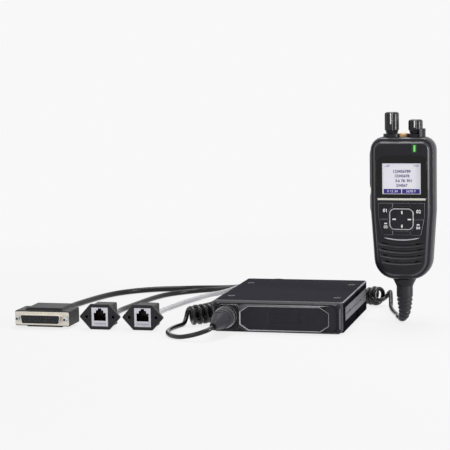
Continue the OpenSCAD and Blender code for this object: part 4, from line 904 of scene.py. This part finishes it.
def figures(name, words, place, y_front, size, material, body, weight=0.06):
    """Plain figures, raised by a hair, facing the handset's front."""
    curve = bpy.data.curves.new(name, "FONT")
    curve.body = words
    curve.size = size * MM
    curve.align_x = "CENTER"
    curve.align_y = "CENTER"
    curve.extrude = FIGURE_RISE * MM
    curve.offset = weight * MM
    curve.resolution_u = FIGURE_CURVE_POINTS
    holder = bpy.data.objects.new(name + "_curve", curve)
    bpy.context.scene.collection.objects.link(holder)
    bpy.context.view_layer.update()
    shape = holder.evaluated_get(bpy.context.evaluated_depsgraph_get())
    mesh = bpy.data.meshes.new_from_object(shape)
    bpy.data.objects.remove(holder)
    place_matrix = Matrix((ACROSS, UP, -INWARD)).transposed().to_4x4()
    place_matrix.translation = at_handset(place[0], y_front, place[1])
    mesh.transform(place_matrix)
    mesh.materials.clear()
    piece = new_object(name, mesh, material, body)


def rectangle(w, h):
    """Corners of a rectangle about its own middle."""
    return [(w / 2, -h / 2), (w / 2, h / 2), (-w / 2, h / 2), (-w / 2, -h / 2)]


# words, place across, height over the display's middle, and size
DISPLAY_ROWS = (
    ("123456789", 0.1, 6.6, 3.7), ("12345678", 0.2, 2.4, 3.5), ("5.6 78. 901", 2.0, -2.0, 3.5),
    ("234567", 0.1, -6.3, 3.5),
)
DISPLAY_TABS = (("0 12 34", -8.5), ("5678 9", 8.5))
TAB_SIZE = (16.5, 4.4)
TAB_HEIGHT = -11.6
COUNTER_X = 13.4
COUNTER_HEIGHT = 11.8
# the signal mark: bars of growing height on one line
SIGNAL_BARS = 4
BAR_X = -15.2
BAR_PITCH = 1.2
BAR_WIDTH = 0.8
FIRST_BAR = 0.7
BAR_GROWTH = 0.5
BAR_HEIGHT = 11.2
# how far a print stands out of its face, in mm
LCD_PRINT_RISE = 0.04
KEY_PRINT_RISE = 0.03


def display_contents():
    """Plain figures, a level mark and two tabs on the display."""
    middle = centre_height("lcd_panel")
    face = LCD_FRONT_Y - LCD_PRINT_RISE
    for i, (words, x, dz, size) in enumerate(DISPLAY_ROWS):
        figures("display_row_%d" % i, words, (x, middle + dz), face, size, LCD_INK, HANDSET,
                weight=0.09)
    place = (COUNTER_X, middle + COUNTER_HEIGHT)
    figures("display_counter", "1/20", place, face, 2.9, LCD_FAINT, HANDSET, weight=0.05)
    for i in range(SIGNAL_BARS):
        outline = rectangle(BAR_WIDTH, FIRST_BAR + BAR_GROWTH * i)
        place = (BAR_X + BAR_PITCH * i, middle + BAR_HEIGHT + BAR_GROWTH / 2 * i)
        inlay("signal_bar_%d" % i, outline, place, face, 0.1, LCD_FAINT, HANDSET)
    for i, (words, x) in enumerate(DISPLAY_TABS):
        place = (x, middle + TAB_HEIGHT)
        inlay("display_tab_%d" % i, rectangle(*TAB_SIZE), place, face, 0.1, LCD_BAR, HANDSET)
        figures("display_tab_text_%d" % i, words, place, face - 0.05, 3.2, LCD_WHITE, HANDSET,
                weight=0.05)


def lamp_core():
    """Bright bar inside the dark green lens."""
    low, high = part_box("led_lens")
    x = ((Vector(low) + Vector(high)) / 2 - PIVOT).dot(ACROSS) / MM
    inlay("lamp_core", rounded_outline(1.7, 6.0, 0.7), (x + 0.2, centre_height("led_lens") + 0.1),
          FACE_Y - 0.28, 0.3, LAMP, HANDSET)


# place and shape of the strip that paints the highlight on the lip under the keys
CHIN_Z = -19.3
CHIN_Y = FACE_Y - 0.82
CHIN_HALF = 16.2
CHIN_RADIUS = 65
CHIN_WIDTH = 1.15
CHIN_STEPS = 24
# the line's section: share of its width, and depth behind its front, in mm
CHIN_SECTION = ((-0.5, 0.3), (-0.5, 0.15), (-0.1, 0), (0.3, 0), (0.5, 0.25), (0.5, 0.3))
# at its ends the line narrows to this share of its width, and widens this fast
CHIN_END = 0.25
CHIN_WIDENING = 5


def chin_highlight_strip():
    """Painted highlight on the lip under the keys: a thin pale metal strip that sags in the middle."""
    verts = []
    for i in range(CHIN_STEPS + 1):
        x = -CHIN_HALF + 2 * CHIN_HALF * i / CHIN_STEPS
        a = math.asin(x / CHIN_RADIUS)
        taper = min(1, (1 - abs(x) / CHIN_HALF) * CHIN_WIDENING + CHIN_END)
        for share, behind in CHIN_SECTION:
            q = CHIN_RADIUS + share * CHIN_WIDTH * taper
            z = CHIN_Z + CHIN_RADIUS - q * math.cos(a)
            verts.append(at_handset(q * math.sin(a), CHIN_Y + behind, z))
    n = len(CHIN_SECTION)
    faces = [[j, j + 1, j + n + 1, j + n] for i in range(CHIN_STEPS) for j in range(i * n, i * n + n - 1)]
    faces += [list(range(n))[::-1], [CHIN_STEPS * n + k for k in range(n)]]
    # the strip is a painted highlight on the lip
    strip = new_object("chin_highlight_strip", mesh_from("chin_highlight_strip", verts, faces), CHIN_HIGHLIGHT, HANDSET)


RIM_WIDTH = 0.55
RIM_RISE = 0.3
# the rim's section: shares of its width to each side and of its rise
RIM_SECTION = ((-1, 0.2), (-0.8, -0.7), (0, -1), (0.8, -0.7), (1, 0.2))
# a mark's place, width and height
PAD_MARKS = (
    (0.5, 6.2, 1.3, 3.0), (0.5, -6.5, 1.3, 3.0), (-6.7, -0.1, 3.2, 1.3), (7.4, -0.2, 3.2, 1.3),
)


def pad_ring():
    """Bright rim on the four-way pad, with four marks."""
    outline = rounded_outline(21.6, 18.9, 4.6, steps=8)
    verts = []
    n = len(outline)
    for i, (x, z) in enumerate(outline):
        along = (Vector(outline[(i + 1) % n]) - Vector(outline[i - 1])).normalized()
        for across, rise in RIM_SECTION:
            reach = across * RIM_WIDTH
            verts.append(at_handset(x + along.y * reach, PAD_FRONT_Y + rise * RIM_RISE,
                                    z - along.x * reach))
    faces = ring_faces(n, len(RIM_SECTION), closed=True)
    ring = new_object("pad_ring", mesh_from("pad_ring", verts, faces), PAD_RING, "dpad")
    for i, (x, z, w, h) in enumerate(PAD_MARKS):
        inlay("pad_mark_%d" % i, rounded_outline(w, h, 0.25, steps=2), (x, z), PAD_FRONT_Y - 0.05,
              0.6, PRINT, "dpad")


# words, place, height, size and key
KEY_LABELS = (
    ("01", -14.9, 7.8, 4.3, "key_ul"), ("02", 15.9, 7.0, 4.3, "key_ur"),
    ("03", -14.6, -7.4, 3.6, "key_ll"), ("04", 15.4, -8.0, 3.6, "key_lr"),
)
KEY_BARS = ((-14.6, -4.1, "key_ll"), (15.4, -5.0, "key_lr"))


def key_prints():
    """Plain numbers on the corner keys, and a bar over the lower two."""
    for words, x, z, size, body in KEY_LABELS:
        figures("print_" + body, words, (x, z), KEY_FRONT_Y - KEY_PRINT_RISE, size, PRINT, body,
                weight=0.12)
    for x, z, body in KEY_BARS:
        inlay("bar_" + body, rounded_outline(2.6, 1.3, 0.4, steps=2), (x, z), KEY_FRONT_Y - 0.06,
              0.15, PRINT, body)


POINTER_HALF = 0.62


def knob_pointer(node, body, length):
    """White line up the front of a knob and a short way over its top."""
    low, high = [Vector(v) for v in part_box(node)]
    joint = Vector(JOINTS[body + "_turn"]["pos_m"])
    radius = (high.x - low.x) / 2 / MM
    top = high.z / MM
    # depth under the knob's side, and depth under its top
    profile = ((0.75, length), (0.05, length), (0.05, 1.7), (0.5, 0.55), (1.6, 0.02), (2.2, 0.1),
               (2.2, 0.5), (0.75, 1.2))
    verts = []
    for side in (-POINTER_HALF, POINTER_HALF):
        for inside, below in profile:
            flat = joint + (side * ACROSS - (radius - inside) * INWARD) * MM
            verts.append(Vector((flat.x, flat.y, (top - below) * MM)))
    n = len(profile)
    faces = ring_faces(2, n)
    faces += [list(range(n))[::-1], [n + k for k in range(n)]]
    mesh = mesh_from(body + "_pointer", verts, faces, smooth=False)
    line = new_object(body + "_pointer", mesh, POINTER, body)


def turned_y(name, profile, places, material, sides=20, capped=True):
    """Pieces of the main unit: rings of (radius, depth) about the Y axis at each place, in mm."""
    verts = []
    faces = []
    for place in places:
        start = len(verts)
        for r, y in profile:
            for k in range(sides):
                a = 2 * math.pi * k / sides
                verts.append((place + Vector((r * math.cos(a), y, r * math.sin(a)))) * MM)
        faces += ring_faces(len(profile), sides, start, flipped=True)
        if capped:
            faces.append(list(range(len(verts) - sides, len(verts))))
    piece = new_object(name, mesh_from(name, verts, faces), material, MAIN)


# the 25-way connector: pitch along a row, rows over and under the middle, and holes in each
PIN_PITCH = 2.77
PIN_ROWS = ((1.42, 13), (-1.42, 12))
PIN_PROFILE = ((0.42, 0.25), (0.62, 0.25), (0.62, 2.0))


def contact_pins():
    """Contacts of the 25-way connector, one in each hole."""
    low, high = box_mm("dsub_insert")
    middle = (low + high) / 2
    places = []
    for dz, count in PIN_ROWS:
        for i in range(count):
            x = middle.x + (i - (count - 1) / 2) * PIN_PITCH
            places.append(Vector((x, low.y, middle.z + dz)))
    turned_y("data_pins", PIN_PROFILE, places, PIN, sides=8, capped=False)


FLANGE_PITCH = 26
INSERT_PROFILE = (
    (1.55, 5.2), (1.55, 0.7), (1.45, 0.5), (1.15, 0.5), (1.05, 0.7), (1.05, 1.3), (0.95, 1.5),
    (1.05, 1.7), (1.05, 2.3), (0.95, 2.5), (1.05, 2.7), (1.0, 4.8),
)


def flange_inserts():
    """Blind threaded inserts in the network sockets' flange holes."""
    places = []
    for node in ("socket_a_flange", "socket_b_flange"):
        low, high = box_mm(node)
        middle = (low + high) / 2
        for side in (-1, 1):
            places.append(Vector((middle.x + side * FLANGE_PITCH / 2, low.y, middle.z)))
    turned_y("flange_inserts", INSERT_PROFILE, places, SOCKET_BLACK)


display_contents()
lamp_core()
chin_highlight_strip()
pad_ring()
key_prints()
knob_pointer("selector_knob", "selector", length=14.43)
knob_pointer("volume_knob", "volume", length=7.75)
contact_pins()
flange_inserts()
